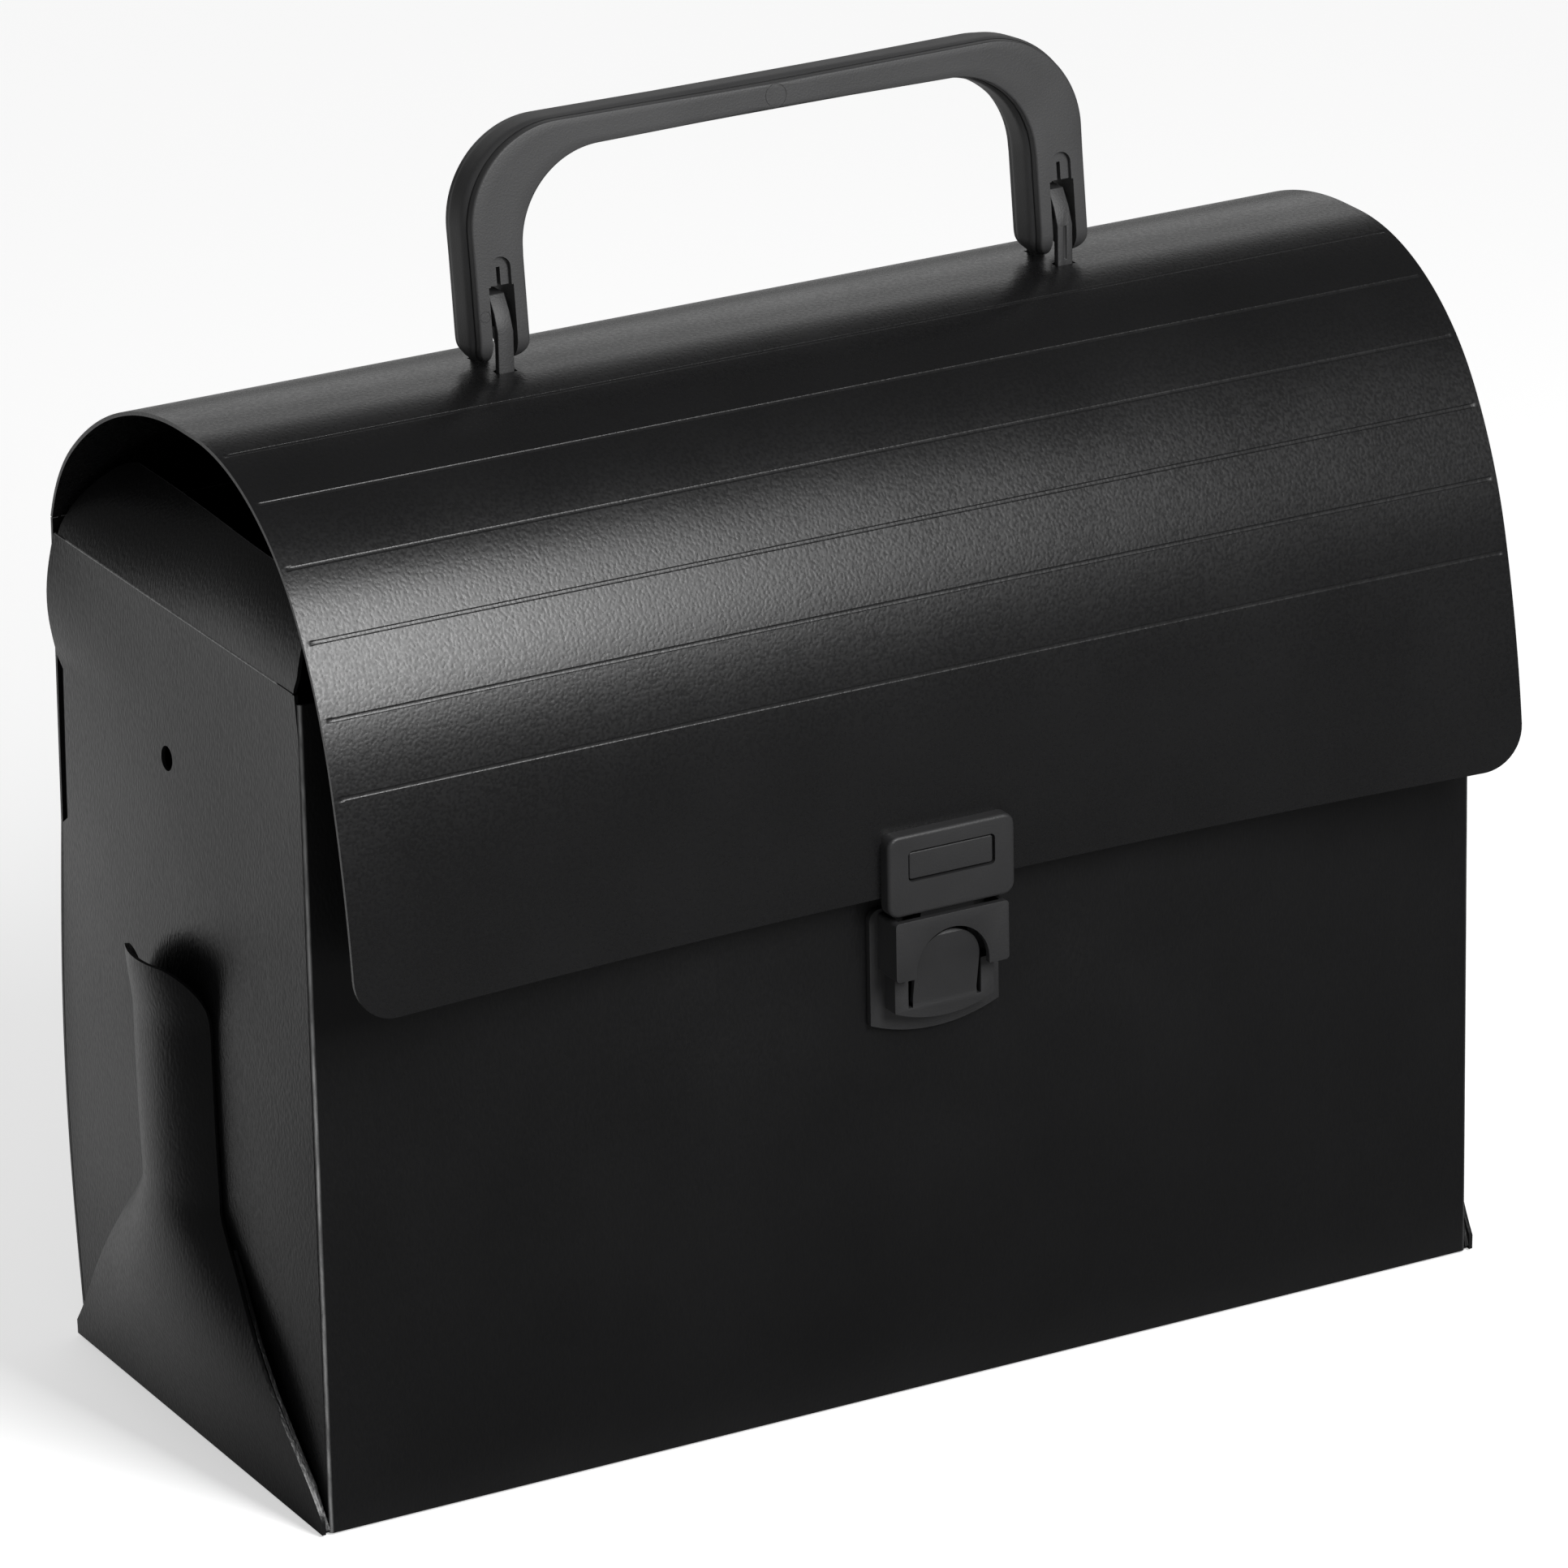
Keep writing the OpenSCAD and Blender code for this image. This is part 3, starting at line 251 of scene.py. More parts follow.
def mark_sharp(mesh, turn=SHARP_TURN):
    """Smooth shading, with edges that turn by more than turn, in degrees, kept sharp."""
    bm = bmesh.new()
    bm.from_mesh(mesh)
    for face in bm.faces:
        face.smooth = True
    for edge in bm.edges:
        edge.smooth = edge.is_manifold and edge.calc_face_angle(0) < math.radians(turn)
    bm.to_mesh(mesh)
    bm.free()


def place(obj, body, material, replaced=()):
    """Puts a finished piece in the scene, on its CAD body, in place of CAD nodes."""
    obj.data.materials.clear()
    obj.data.materials.append(material)
    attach(obj, body)
    if replaced:
        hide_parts(*replaced)


def mesh_object(name, points, faces, whitening_and_highlight=None):
    mesh = bpy.data.meshes.new(name)
    mesh.from_pydata([tuple(p) for p in np.asarray(points) * MM], [], faces)
    mesh.validate()
    if whitening_and_highlight is not None:
        attribute = mesh.attributes.new("whitening_and_highlight", "FLOAT", "POINT")
        attribute.data.foreach_set("value", np.asarray(whitening_and_highlight, np.float32))
    mark_sharp(mesh)
    obj = bpy.data.objects.new(name, mesh)
    bpy.context.scene.collection.objects.link(obj)
    return obj


def sheet_object(name, outer, inner, whitening_and_highlight=None):
    """Closed sheet between two matching grids of points, seen with the outer one in front."""
    rows, cols = outer.shape[:2]
    size = rows * cols
    index = np.arange(size).reshape(rows, cols)
    faces = []
    for i in range(rows - 1):
        for j in range(cols - 1):
            a, b, c, d = index[i, j], index[i + 1, j], index[i + 1, j + 1], index[i, j + 1]
            faces.append((int(a), int(d), int(c), int(b)))
            faces.append((int(a + size), int(b + size), int(c + size), int(d + size)))
    ring = list(index[0, :]) + list(index[1:, -1]) + list(index[-1, -2::-1]) + list(index[-2:0:-1, 0])
    for k, a in enumerate(ring):
        b = ring[(k + 1) % len(ring)]
        faces.append((int(a), int(a + size), int(b + size), int(b)))
    points = np.concatenate([outer.reshape(-1, 3), inner.reshape(-1, 3)])
    tint = np.zeros(2 * size)
    if whitening_and_highlight is not None:
        tint[:size] = whitening_and_highlight.reshape(-1)
    obj = mesh_object(name, points, faces, tint)
    outward(obj.data)
    return obj


def outward(mesh):
    """Turns the faces of a closed mesh outwards."""
    bm = bmesh.new()
    bm.from_mesh(mesh)
    bmesh.ops.recalc_face_normals(bm, faces=bm.faces)
    bm.to_mesh(mesh)
    bm.free()


def loft(name, rings, closed=False):
    """Closed skin over rings of equal length, capped at both ends unless it closes on itself."""
    n, m = len(rings[0]), len(rings)
    faces = []
    for i in range(m if closed else m - 1):
        for k in range(n):
            a, b = i * n, (i + 1) % m * n
            faces.append((a + k, a + (k + 1) % n, b + (k + 1) % n, b + k))
    if not closed:
        faces += [tuple(range(n)), tuple(range(m * n - 1, (m - 1) * n - 1, -1))]
    obj = mesh_object(name, [p for ring in rings for p in ring], faces)
    outward(obj.data)
    return obj


def mirrored(obj, name):
    """Copy of obj on the other side of the case."""
    copy = bpy.data.objects.new(name, obj.data.copy())
    bpy.context.scene.collection.objects.link(copy)
    copy.data.transform(Matrix.Scale(-1, 4, (1, 0, 0)))
    copy.data.flip_normals()
    return copy


def apply_modifiers(obj):
    """Gives obj the mesh that its modifiers make."""
    graph = bpy.context.evaluated_depsgraph_get()
    graph.update()
    mesh = bpy.data.meshes.new_from_object(obj.evaluated_get(graph))
    obj.modifiers.clear()
    old = obj.data
    obj.data = mesh
    mesh.name = old.name


def combine(obj, others, operation):
    """Cuts closed objects out of obj or adds them to it, then deletes them."""
    for other in others:
        modifier = obj.modifiers.new("combine", "BOOLEAN")
        modifier.operation = operation
        modifier.solver = "EXACT"
        modifier.object = other
    apply_modifiers(obj)
    for other in others:
        bpy.data.objects.remove(other)


def cut(obj, cutters):
    combine(obj, cutters, "DIFFERENCE")


def add(obj, others):
    combine(obj, others, "UNION")


def solid(name, outline, along, low, high):
    """Closed prism: an outline of (a, b) points in the plane across axis along, from low to high.
    Across X the pair is (y, z), across Y (x, z), across Z (x, y)."""
    spots = {"X": lambda a, b, c: (c, a, b), "Y": lambda a, b, c: (a, c, b),
             "Z": lambda a, b, c: (a, b, c)}[along]
    n = len(outline)
    points = [spots(a, b, low) for a, b in outline] + [spots(a, b, high) for a, b in outline]
    faces = [tuple(range(n)), tuple(range(2 * n - 1, n - 1, -1))]
    faces += [(i, (i + 1) % n, n + (i + 1) % n, n + i) for i in range(n)]
    obj = mesh_object(name, points, faces)
    outward(obj.data)
    return obj


def round_box(a, b, c, d, r, n=6):
    """Outline of a box from (a, b) to (c, d) with corners of radius r."""
    centres = [(c - r, d - r, 0), (a + r, d - r, 90), (a + r, b + r, 180), (c - r, b + r, 270)]
    return [(x + r * math.cos(math.radians(t + 90 * k / n)), y + r * math.sin(math.radians(t + 90 * k / n)))
            for x, y, t in centres for k in range(n + 1)]


def disc(x, y, r, n=48):
    turns = [2 * math.pi * k / n for k in range(n)]
    return [(x + r * math.cos(t), y + r * math.sin(t)) for t in turns]


def round_end(end, radius, angles):
    """Values up to end, spaced as the angles, in degrees, around a corner of that radius."""
    return [end - radius * (1 - math.sin(math.radians(a))) for a in angles]


# ---------------------------------------------------------------- panels
ROLL_R, ROLL_INNER = 0.8, 0.04          # outer and inner radius of the fold at a vertical corner
FOLD_WHITE = [0.0, 0.15, 0.9, 1.0, 0.35, 0.0]    # whitening across the left fold
RIGHT_FOLD = 0.25                       # how much of it the right fold has
ROW_GAP = 4.0                           # spacing of a panel's rows
HOLE_REACH = 5.0                        # how far in the strap hole's cutter goes


def wave(share):
    """Sine of a quarter turn times share."""
    return math.sin(math.pi / 2 * min(max(share, 0.0), 1.0))


def ease(share):
    """Smooth rise from 0 to 1 as share does."""
    share = min(max(share, 0.0), 1.0)
    return share * share * (3 - 2 * share)


def towards_lock(x):
    """Share of a bulge at x: 1 across the lock's seat, falling to 0 at the case's edge."""
    return math.cos(math.pi / 2 * max(abs(x) - SEAT_HALF, 0) / (HALF_W - SEAT_HALF))


def front_y(x, z):
    sunk = FRONT_EASE * max(0.0, (z - EASE_Z) / (FRONT_H - EASE_Z)) ** 2
    return -HALF_D - FRONT_BOW * towards_lock(x) * wave(z / SEAT_Z) * (1 - sunk)


def front_panel():
    """Bulged front with its vertical edges rolled round into the end panels' creases."""
    flat_end = HALF_W - ROLL_R
    half = list(spaced(0, flat_end - 2, 5)) + [flat_end - 0.9, flat_end - 0.25, flat_end]
    xs = [-x for x in half[:0:-1]] + half
    turns = np.radians(range(18, 91, 18))
    outer, inner, tint = [], [], []
    for z in spaced(0, FRONT_H, ROW_GAP):
        edge_y = front_y(flat_end, z)
        roll_o, roll_i = [[(flat_end + r * math.sin(a), edge_y + ROLL_R - r * math.cos(a)) for a in turns]
                          for r in (ROLL_R, ROLL_INNER)]
        rows = []
        for roll, depth in ((roll_o, 0), (roll_i, SHEET)):
            line = [(-x, y) for x, y in roll[::-1]] + [(x, front_y(x, z) + depth) for x in xs] + roll
            rows.append([(x, y, z) for x, y in line])
        outer.append(rows[0])
        inner.append(rows[1])
        tint.append(FOLD_WHITE + [0.0] * (len(xs) - 2) + [RIGHT_FOLD * w for w in FOLD_WHITE[::-1]])
    obj = sheet_object("front_panel_sheet", np.array(outer), np.array(inner), np.array(tint))
    place(obj, "case", CASE_BLACK, ["front_panel"])


def back_edge(z):
    """Depth of the back corner edges, which bulge and then lean in to the hinge."""
    if z <= RELIEF_LOW:
        return HALF_D + CORNER_BULGE * math.sin(math.pi * z / RELIEF_LOW)
    return HALF_D + (hinge[1] - HALF_D) * (z - RELIEF_LOW) / (BACK_H - RELIEF_LOW)


def back_panel():
    def point(z, x):
        across = math.cos(math.pi / 2 * x / HALF_W)
        return (x, back_edge(z) + BACK_BOW * across * math.sin(math.pi * z / BACK_H), z)

    zs = list(spaced(0, RELIEF_LOW, ROW_GAP)) + list(spaced(RELIEF_LOW, BACK_H, ROW_GAP))[1:]
    outer = grid(zs, spaced(HALF_W, -HALF_W, 6), point)
    obj = sheet_object("back_panel_sheet", outer, outer - (0, SHEET, 0))
    place(obj, "case", CASE_BLACK, ["back_panel"])


def bulge(y, z):
    """How far an end panel stands out."""
    return END_BOW * math.cos(math.pi / 2 * min(abs(y) / HALF_D, 1)) * math.sin(math.pi * min(z / END_H, 1))


def relief(z):
    """Depth of the relief cut in an end panel's back edge."""
    from_low, from_high = (z - RELIEF_LOW) / RELIEF_SLOPE, (RELIEF_HIGH - z) / RELIEF_SLOPE
    return RELIEF_DEPTH * max(0.0, min(1.0, from_low, from_high))


def end_x(y, z):
    """Outer face of the left end panel, whose free back corner springs out above the relief cut."""
    ear = 0.0
    if z > RELIEF_HIGH:
        ear = EAR_SPRING * math.sin(math.pi * (z - RELIEF_HIGH) / (END_H - RELIEF_HIGH))
    return -HALF_W - bulge(y, z) - ear * max(0.0, y / HALF_D) ** 3


def end_panels():
    zs = list(spaced(SHEET, RELIEF_LOW, ROW_GAP)) + [RELIEF_LOW + 1]
    zs += list(spaced(RELIEF_LOW + RELIEF_SLOPE, RELIEF_HIGH - RELIEF_SLOPE, ROW_GAP))
    zs += [RELIEF_HIGH - 1] + list(spaced(RELIEF_HIGH, END_H - NOTCH_H, 2))
    zs += list(spaced(END_H - NOTCH_H, END_H, 1))[1:]
    edge = [0, 0.008, 0.03, 0.06]
    vs = edge + list(spaced(0.1, 0.9, 0.04)) + [1 - v for v in edge[::-1]]

    def point(z, v):
        front = -HALF_D + SHEET + NOTCH_W * max(0.0, (z - END_H + NOTCH_H) / NOTCH_H)
        back = back_edge(z) - SHEET - CREASE_GAP - relief(z)
        y = front + (back - front) * v
        return (end_x(y, z), y, z)

    outer = grid(zs, vs, point)
    left = sheet_object("left_end_sheet", outer, outer + (SHEET, 0, 0))
    hole = disc(0, STRAP_HOLE_Z, STRAP_HOLE_R)
    cut(left, [solid("hole", hole, "X", -HALF_W - 2 * END_BOW, -HALF_W + HOLE_REACH)])
    mark_sharp(left.data)
    right = mirrored(left, "right_end_sheet")
    place(left, "case", CASE_BLACK, ["left_end_panel"])
    place(right, "case", CASE_BLACK, ["right_end_panel"])


# ---------------------------------------------------------------- bottom flaps
TONGUE_BASE, TONGUE_R, FOOT_H = 55.0, 9.0, 3.0
TONGUE_RISE, TONGUE_HALF, TONGUE_SHIFT = 6.5, 15.5, 4.4
TONGUE_TUCK, TUCK_H, TONGUE_CURL, CURL_H = 0.6, 10.0, 1.4, 14.0
WEB_PUSH, WEB_HIGH = 2.0, 49.0          # how far the webs push the flap out, and how high they are
LEAST_RISE = 0.05                       # an arch lower than this is drawn flat
TONGUE_TOP = corners("left_bottom_flap")[1][2]


def flap_half(z):
    """Half width of a bottom flap: a foot, a triangle and a tongue with a rounded end."""
    if z <= FOOT_H:
        return HALF_D
    if z < TONGUE_BASE:
        return HALF_D + (TONGUE_HALF - HALF_D) * (z - FOOT_H) / (TONGUE_BASE - FOOT_H)
    return TONGUE_HALF - TONGUE_R + math.sqrt(TONGUE_R ** 2 - max(0.0, z - TONGUE_TOP + TONGUE_R) ** 2)


def flap_middle(z):
    """Depth of a bottom flap's middle, shifted to the front more and more up to its tongue."""
    return -TONGUE_SHIFT * min(max((z - FOOT_H) / (TONGUE_BASE - FOOT_H), 0.0), 1.0)


def flap_proud(z):
    """How far the flap's side edges stand off the end panel."""
    push = WEB_PUSH * math.sin(math.pi * min(z / TONGUE_BASE, 1)) ** 2
    tuck = TONGUE_TUCK * ease((z - WEB_HIGH) / TUCK_H)
    return push - tuck + TONGUE_CURL * ease((z - TONGUE_TOP + CURL_H) / CURL_H)


def flap_x(y, z):
    """Outer face of the left bottom flap, arched between its side edges."""
    rise = TONGUE_RISE * ease(z / TONGUE_BASE)
    half = flap_half(z) if z < TONGUE_BASE else TONGUE_HALF
    arc = 0.0
    if rise >= LEAST_RISE:
        r = (half ** 2 + rise ** 2) / (2 * rise)
        arc = math.sqrt(r ** 2 - min(abs(y - flap_middle(z)), half) ** 2) - r + rise
    return -HALF_W - 2 * LAYER - LAYER_PLAY - bulge(y, z) - flap_proud(z) - arc


def flap_normal(y, z, d=0.05):
    along = np.array((flap_x(y + d, z) - flap_x(y - d, z), 2 * d, 0))
    up = np.array((flap_x(y, z + d) - flap_x(y, z - d), 0, 2 * d))
    normal = np.cross(up, along)
    return normal / np.linalg.norm(normal) * -np.sign(normal[0])


def bottom_flaps():
    zs = [0, 1.5] + list(spaced(FOOT_H, TONGUE_TOP - CURL_H, 2))
    zs += list(spaced(TONGUE_TOP - CURL_H, TONGUE_TOP - TONGUE_R, 1))[1:]
    zs += round_end(TONGUE_TOP, TONGUE_R, (*range(10, 61, 10), 68, 76, 83))
    vs = np.sin(np.radians(steps(90, -90, 44)))
    spots = [[(flap_middle(z) + v * flap_half(z), z) for v in vs] for z in zs]
    outer = np.array([[(flap_x(y, z), y, z) for y, z in line] for line in spots])
    inner = outer - SHEET * np.array([[flap_normal(y, z) for y, z in line] for line in spots])
    left = sheet_object("left_bottom_sheet", outer, inner)
    right = mirrored(left, "right_bottom_sheet")
    place(left, "case", CASE_BLACK, ["left_bottom_flap"])
    place(right, "case", CASE_BLACK, ["right_bottom_flap"])


# ---------------------------------------------------------------- lid


def arc(radius, turn):
    """Piece of a chain: length and turn in radians."""
    return (radius * math.radians(turn), math.radians(turn))


def walk(chain, s, start, heading):
    """Point (y, z) and heading after a distance s along a chain; headings: 90 up, 180 to the front."""
    y, z = start
    for length, turn in chain:
        d = min(s, length)
        if turn:
            r, a = length / turn, turn * d / length
            y += r * (math.sin(heading + a) - math.sin(heading))
            z += r * (math.cos(heading) - math.cos(heading + a))
            heading += a
        else:
            y += d * math.cos(heading)
            z += d * math.sin(heading)
        s -= d
        if s <= 0:
            break
    return np.array((y, z)), heading


WHOLE = 1e3                             # longer than any chain
LID_START = math.radians(107.5)
ROOT = (hinge[1], 2 * hinge[2] - BACK_H)
SHOULDER, SHOULDER_TURN, BACK_SLOPE = 39.0, 31.0, 77.0
RIDGE, RIDGE_TURN, FRONT_SHOULDER, FRONT_SHOULDER_TURN = 49.0, 25.0, 53.0, 33.0
FRONT_SLOPE, FRONT_SLOPE_TURN, SKIRT = 98.0, 18.0, 270.0
BROW_PROUD, EDGE_RISE, SEAT_PROUD = 0.9, 4.0, 6.0
BROW_Y = -HALF_D - BROW_PROUD
LID_EDGE_Z = LOCK_Z + EDGE_RISE
HASP_SEAT_Y = front_low[1] - SEAT_PROUD
LID_ROW_GAP = 1.5
HOOK_SLOT_PLAY, HOOK_SLOT_HALF, HOOK_SLOT_R = 0.5, 1.25, 0.4
SLOT_LOW, SLOT_HIGH = 20.0, 5.0         # how far below the pivot a hook slot's cutter starts and ends


def lid_chains():
    """Chains of arcs along a side edge and along the middle, with the distance to the ridge's front."""
    back_turn = 180 - math.degrees(LID_START) - SHOULDER_TURN
    start = [arc(SHOULDER, SHOULDER_TURN), arc(BACK_SLOPE, back_turn)]
    end = [arc(RIDGE, RIDGE_TURN), arc(FRONT_SHOULDER, FRONT_SHOULDER_TURN)]
    ridge = walk(start, WHOLE, ROOT, LID_START)[0]
    front = walk(end, WHOLE, ridge, math.pi)[0]
    flat = front[0] - BROW_Y
    top = start + [(flat, 0.0)] + end
    brow, heading = walk(top, WHOLE, ROOT, LID_START)
    side_end, side_heading = walk([arc(FRONT_SLOPE, FRONT_SLOPE_TURN)], WHOLE, brow, heading)
    rise = (LID_EDGE_Z - side_end[1]) / SKIRT
    skirt = 2 * math.pi - math.acos(math.cos(side_heading) - rise) - side_heading
    side = top + [arc(FRONT_SLOPE, FRONT_SLOPE_TURN), (SKIRT * skirt, skirt)]
    middle_turn = 1.5 * math.pi - heading
    middle_r = (brow[0] - HASP_SEAT_Y) / (1 + math.sin(heading))
    middle_end = walk([(middle_r * middle_turn, middle_turn)], WHOLE, brow, heading)[0]
    middle = top + [(middle_r * middle_turn, middle_turn), (middle_end[1] - LID_EDGE_Z, 0.0)]
    ridge_front = sum(length for length, turn in start) + flat
    return side, middle, sum(length for length, turn in top), ridge_front


SIDE_CHAIN, MIDDLE_CHAIN, TOP_LEN, RIDGE_FRONT = lid_chains()
SIDE_LEN = sum(length for length, turn in SIDE_CHAIN)
MIDDLE_LEN = sum(length for length, turn in MIDDLE_CHAIN)


def lid_lines(s):
    """Point and heading on the side edge and in the middle, at a distance s along the side edge."""
    side = walk(SIDE_CHAIN, s, ROOT, LID_START)
    if s <= TOP_LEN:
        return side, side
    share = (s - TOP_LEN) * (MIDDLE_LEN - TOP_LEN) / (SIDE_LEN - TOP_LEN)
    return side, walk(MIDDLE_CHAIN, TOP_LEN + share, ROOT, LID_START)


def lid_rows():
    """Distances along the lid's side edge, each with the depth of a crease there."""
    creases = [CREASE_PITCH * i for i in (1, 2, 3)]
    creases += [RIDGE_FRONT + CREASE_FIRST + CREASE_PITCH * i for i in range(6)]
    # depth across a crease: narrow steps beside a gently hollow floor
    half_profile = [(CREASE_HALF + 0.15, 0.0), (CREASE_HALF, 0.0),
                    (CREASE_HALF - CREASE_WALL, CREASE_WALL), (0.22, 0.12)]
    profile = [(-offset, depth) for offset, depth in half_profile] + [(0, CREASE_DEPTH)]
    profile += half_profile[::-1]
    rows, last = [], 0.0
    for c in creases:
        rows += [(s, 0.0) for s in spaced(last, c + profile[0][0], LID_ROW_GAP)[:-1]]
        rows += [(c + offset, depth) for offset, depth in profile]
        last = c + profile[-1][0]
    corner = SIDE_LEN - LID_CORNER_R
    rows += [(s, 0.0) for s in spaced(last, corner, LID_ROW_GAP)[1:]]
    rows = [r for k, r in enumerate(rows) if k == 0 or r[0] > rows[k - 1][0] + 1e-6]
    turns = np.radians((*range(8, 81, 8), 86, 90))
    return rows + [(corner + LID_CORNER_R * math.sin(a), 0.0) for a in turns]


def lid_row(s, depth, us):
    """Outer points, inner points and whitening of the lid's row at s, at shares us of its half width; the
    creases' whitening is partly a painted highlight.
    """
    (side, side_heading), (middle, middle_heading) = lid_lines(s)
    over = max(0.0, s - SIDE_LEN + LID_CORNER_R)
    half = HALF_W - LID_CORNER_R + math.sqrt(max(0.0, LID_CORNER_R ** 2 - over ** 2))
    outer, inner, white = [], [], []
    for u in us:
        x = u * half
        mix = towards_lock(x)
        y, z = side + (middle - side) * mix
        h = side_heading + (middle_heading - side_heading) * mix
        out = np.array((0.0, math.sin(h), -math.cos(h)))
        fade = min(1.0, max(0.0, (HALF_W - abs(x) - CREASE_END + CREASE_FADE) / (2 * CREASE_FADE)))
        centre = np.array((x, y, z))
        outer.append(centre - depth * fade * out)
        inner.append(centre - SHEET * out)
        # crease whitening, partly a painted highlight
        white.append(CREASE_WHITE_AND_HIGHLIGHT * fade if depth > CREASE_FLOOR else 0.0)
    return outer, inner, white


def hook_slots():
    """Cutters for the slots in the lid that the hooks' legs pass through."""
    slots = []
    for node in ("left_hook", "right_hook"):
        low, high = corners(node)
        for y in (pivot[1] - HOOK_LEG_Y, pivot[1] + HOOK_LEG_Y):
            outline = round_box(low[0] - HOOK_SLOT_PLAY, y - HOOK_SLOT_HALF,
                                high[0] + HOOK_SLOT_PLAY, y + HOOK_SLOT_HALF, HOOK_SLOT_R, 3)
            slots.append(solid("slot", outline, "Z", pivot[2] - SLOT_LOW, pivot[2] - SLOT_HIGH))
    return slots


def lid_sheet():
    edge = [1 - i / HALF_W for i in (0, 0.6, 1.1, CREASE_END, 1.9, 2.6, 4)]
    us = edge + list(spaced(edge[-1], -edge[-1], 0.03))[1:-1] + [-u for u in edge[::-1]]
    outer, inner, tint = zip(*[lid_row(s, depth, us) for s, depth in lid_rows()])
    obj = sheet_object("lid_sheet", np.array(outer), np.array(inner), np.array(tint))
    cut(obj, hook_slots())
    mark_sharp(obj.data)
    place(obj, "lid", LID_BLACK, ["lid"])


# ---------------------------------------------------------------- dust flaps
FLAP_LEN, FLAP_LEAN, FLAP_TURN, FLAP_PLAY, FLAP_TIP_R = 21.0, math.radians(6), math.radians(34), 2.4, 3.0
FLAP_TWIST = np.radians((-5, 12))       # how much further the flap's front and back ends lean in
TWIST_HALF = 40.0                       # the twist goes from this far in front to as far behind
FOOT_GAP, BACK_GAP = 0.3, 0.45
FLAP_FOOT = HALF_D - SHEET - NOTCH_W - FOOT_GAP
FLAP_BACK = FLAP_FOOT - NOTCH_W - BACK_GAP
FLAP_FLARE, FLARE_LEN = 1.4, 4.0        # how much the front edge widens, and within what of its foot
# painted highlight: share of the whitened colour that draws a dust flap's free top edge as a light line
FLAP_EDGE_HIGHLIGHT = 0.3
SKIRT_REACH = 24.0                      # how far past the brow the line of a flap's front edge goes


def lid_inside(low, high):
    """Heights and depths, upwards, of the line that a dust flap's end follows inside the lid."""
    inset = SHEET + FLAP_PLAY
    line = []
    for s in spaced(low, high, 1):
        (y, z), h = walk(SIDE_CHAIN, s, ROOT, LID_START)
        line.append((z + inset * math.cos(h), y - inset * math.sin(h)))
    return np.array(sorted(line)).T


def twisted(x, y, z):
    """Point of a dust flap turned in about its crease, more so towards the back."""
    turn = FLAP_TWIST[0] + (FLAP_TWIST[1] - FLAP_TWIST[0]) * ease((y + TWIST_HALF) / (2 * TWIST_HALF))
    dx, dz = x + HALF_W, z - END_H - CREASE_GAP
    return (dx * math.cos(turn) + dz * math.sin(turn) - HALF_W, y,
            END_H + CREASE_GAP + dz * math.cos(turn) - dx * math.sin(turn))


def dust_flaps():
    """Sheets that curl in over the case's mouth, with rounded free corners."""
    back_line = lid_inside(0, RIDGE_FRONT)
    front_line = lid_inside(RIDGE_FRONT, TOP_LEN + SKIRT_REACH)
    radius = FLAP_LEN / FLAP_TURN
    vs = list(spaced(0, FLAP_LEN - FLAP_TIP_R, 1))
    vs += round_end(FLAP_LEN, FLAP_TIP_R, (*range(12, 73, 12), 83))
    outer, inner = [], []
    for v in vs:
        lean = FLAP_LEAN + FLAP_TURN * v / FLAP_LEN
        x = -HALF_W + radius * (math.cos(FLAP_LEAN) - math.cos(lean))
        rise = math.sin(lean) - math.sin(FLAP_LEAN)
        z = END_H + CREASE_GAP + radius * rise
        over = max(0.0, v - FLAP_LEN + FLAP_TIP_R)
        tip = FLAP_TIP_R - math.sqrt(FLAP_TIP_R ** 2 - over ** 2)
        back = min(FLAP_BACK, np.interp(z, *back_line)) - tip
        front = max(-FLAP_FOOT - FLAP_FLARE * ease(v / FLARE_LEN), np.interp(z, *front_line)) + tip
        ys = back + (front - back) * (0.5 - 0.5 * np.cos(math.pi * steps(0, 1, 30)))
        outer.append([twisted(x, y, z) for y in ys])
        inner.append([twisted(x + SHEET * math.cos(lean), y, z - SHEET * rise) for y in ys])
    outer, inner = np.array(outer), np.array(inner)
    tint = np.zeros(outer.shape[:2])
    # painted highlight along the flap's free top edge
    tint[-1, :] = FLAP_EDGE_HIGHLIGHT
    left = sheet_object("left_dust_sheet", outer, inner, tint)
    right = mirrored(left, "right_dust_sheet")
    place(left, "left_dust_flap", CASE_BLACK, ["left_dust_flap"])
    place(right, "right_dust_flap", CASE_BLACK, ["right_dust_flap"])


# ---------------------------------------------------------------- hinge beads
LID_BEAD_R, LID_BEAD_TAPER = 0.42, 0.4
FLAP_BEAD_R, FLAP_BEAD_TAPER, FLAP_BEAD_IN = 0.26, 0.2, 0.1
BEAD_TIP = 0.3                          # share of its radius that a rib ends with


def bead(name, points, radius):
    """Thin rounded rib along a crease that turns, through (x, y, z, whitening) points."""
    points = np.array(points, float)
    spots, white = points[:, :3], points[:, 3]
    along = (spots[-1] - spots[0]) / np.linalg.norm(spots[-1] - spots[0])
    side = np.cross(along, (0, 0, 1))
    circle = [math.cos(t) * side + math.sin(t) * np.array((0, 0, 1)) for t in np.radians(steps(0, 330, 11))]
    shares = [BEAD_TIP] + [1.0] * (len(spots) - 2) + [BEAD_TIP]
    rings = [[centre + radius * share * c for c in circle] for centre, share in zip(spots, shares)]
    obj = loft(name, rings)
    attribute = obj.data.attributes.new("whitening_and_highlight", "FLOAT", "POINT")
    attribute.data.foreach_set("value", np.repeat(white, len(circle)).astype(np.float32))
    place(obj, "case", CASE_BLACK)


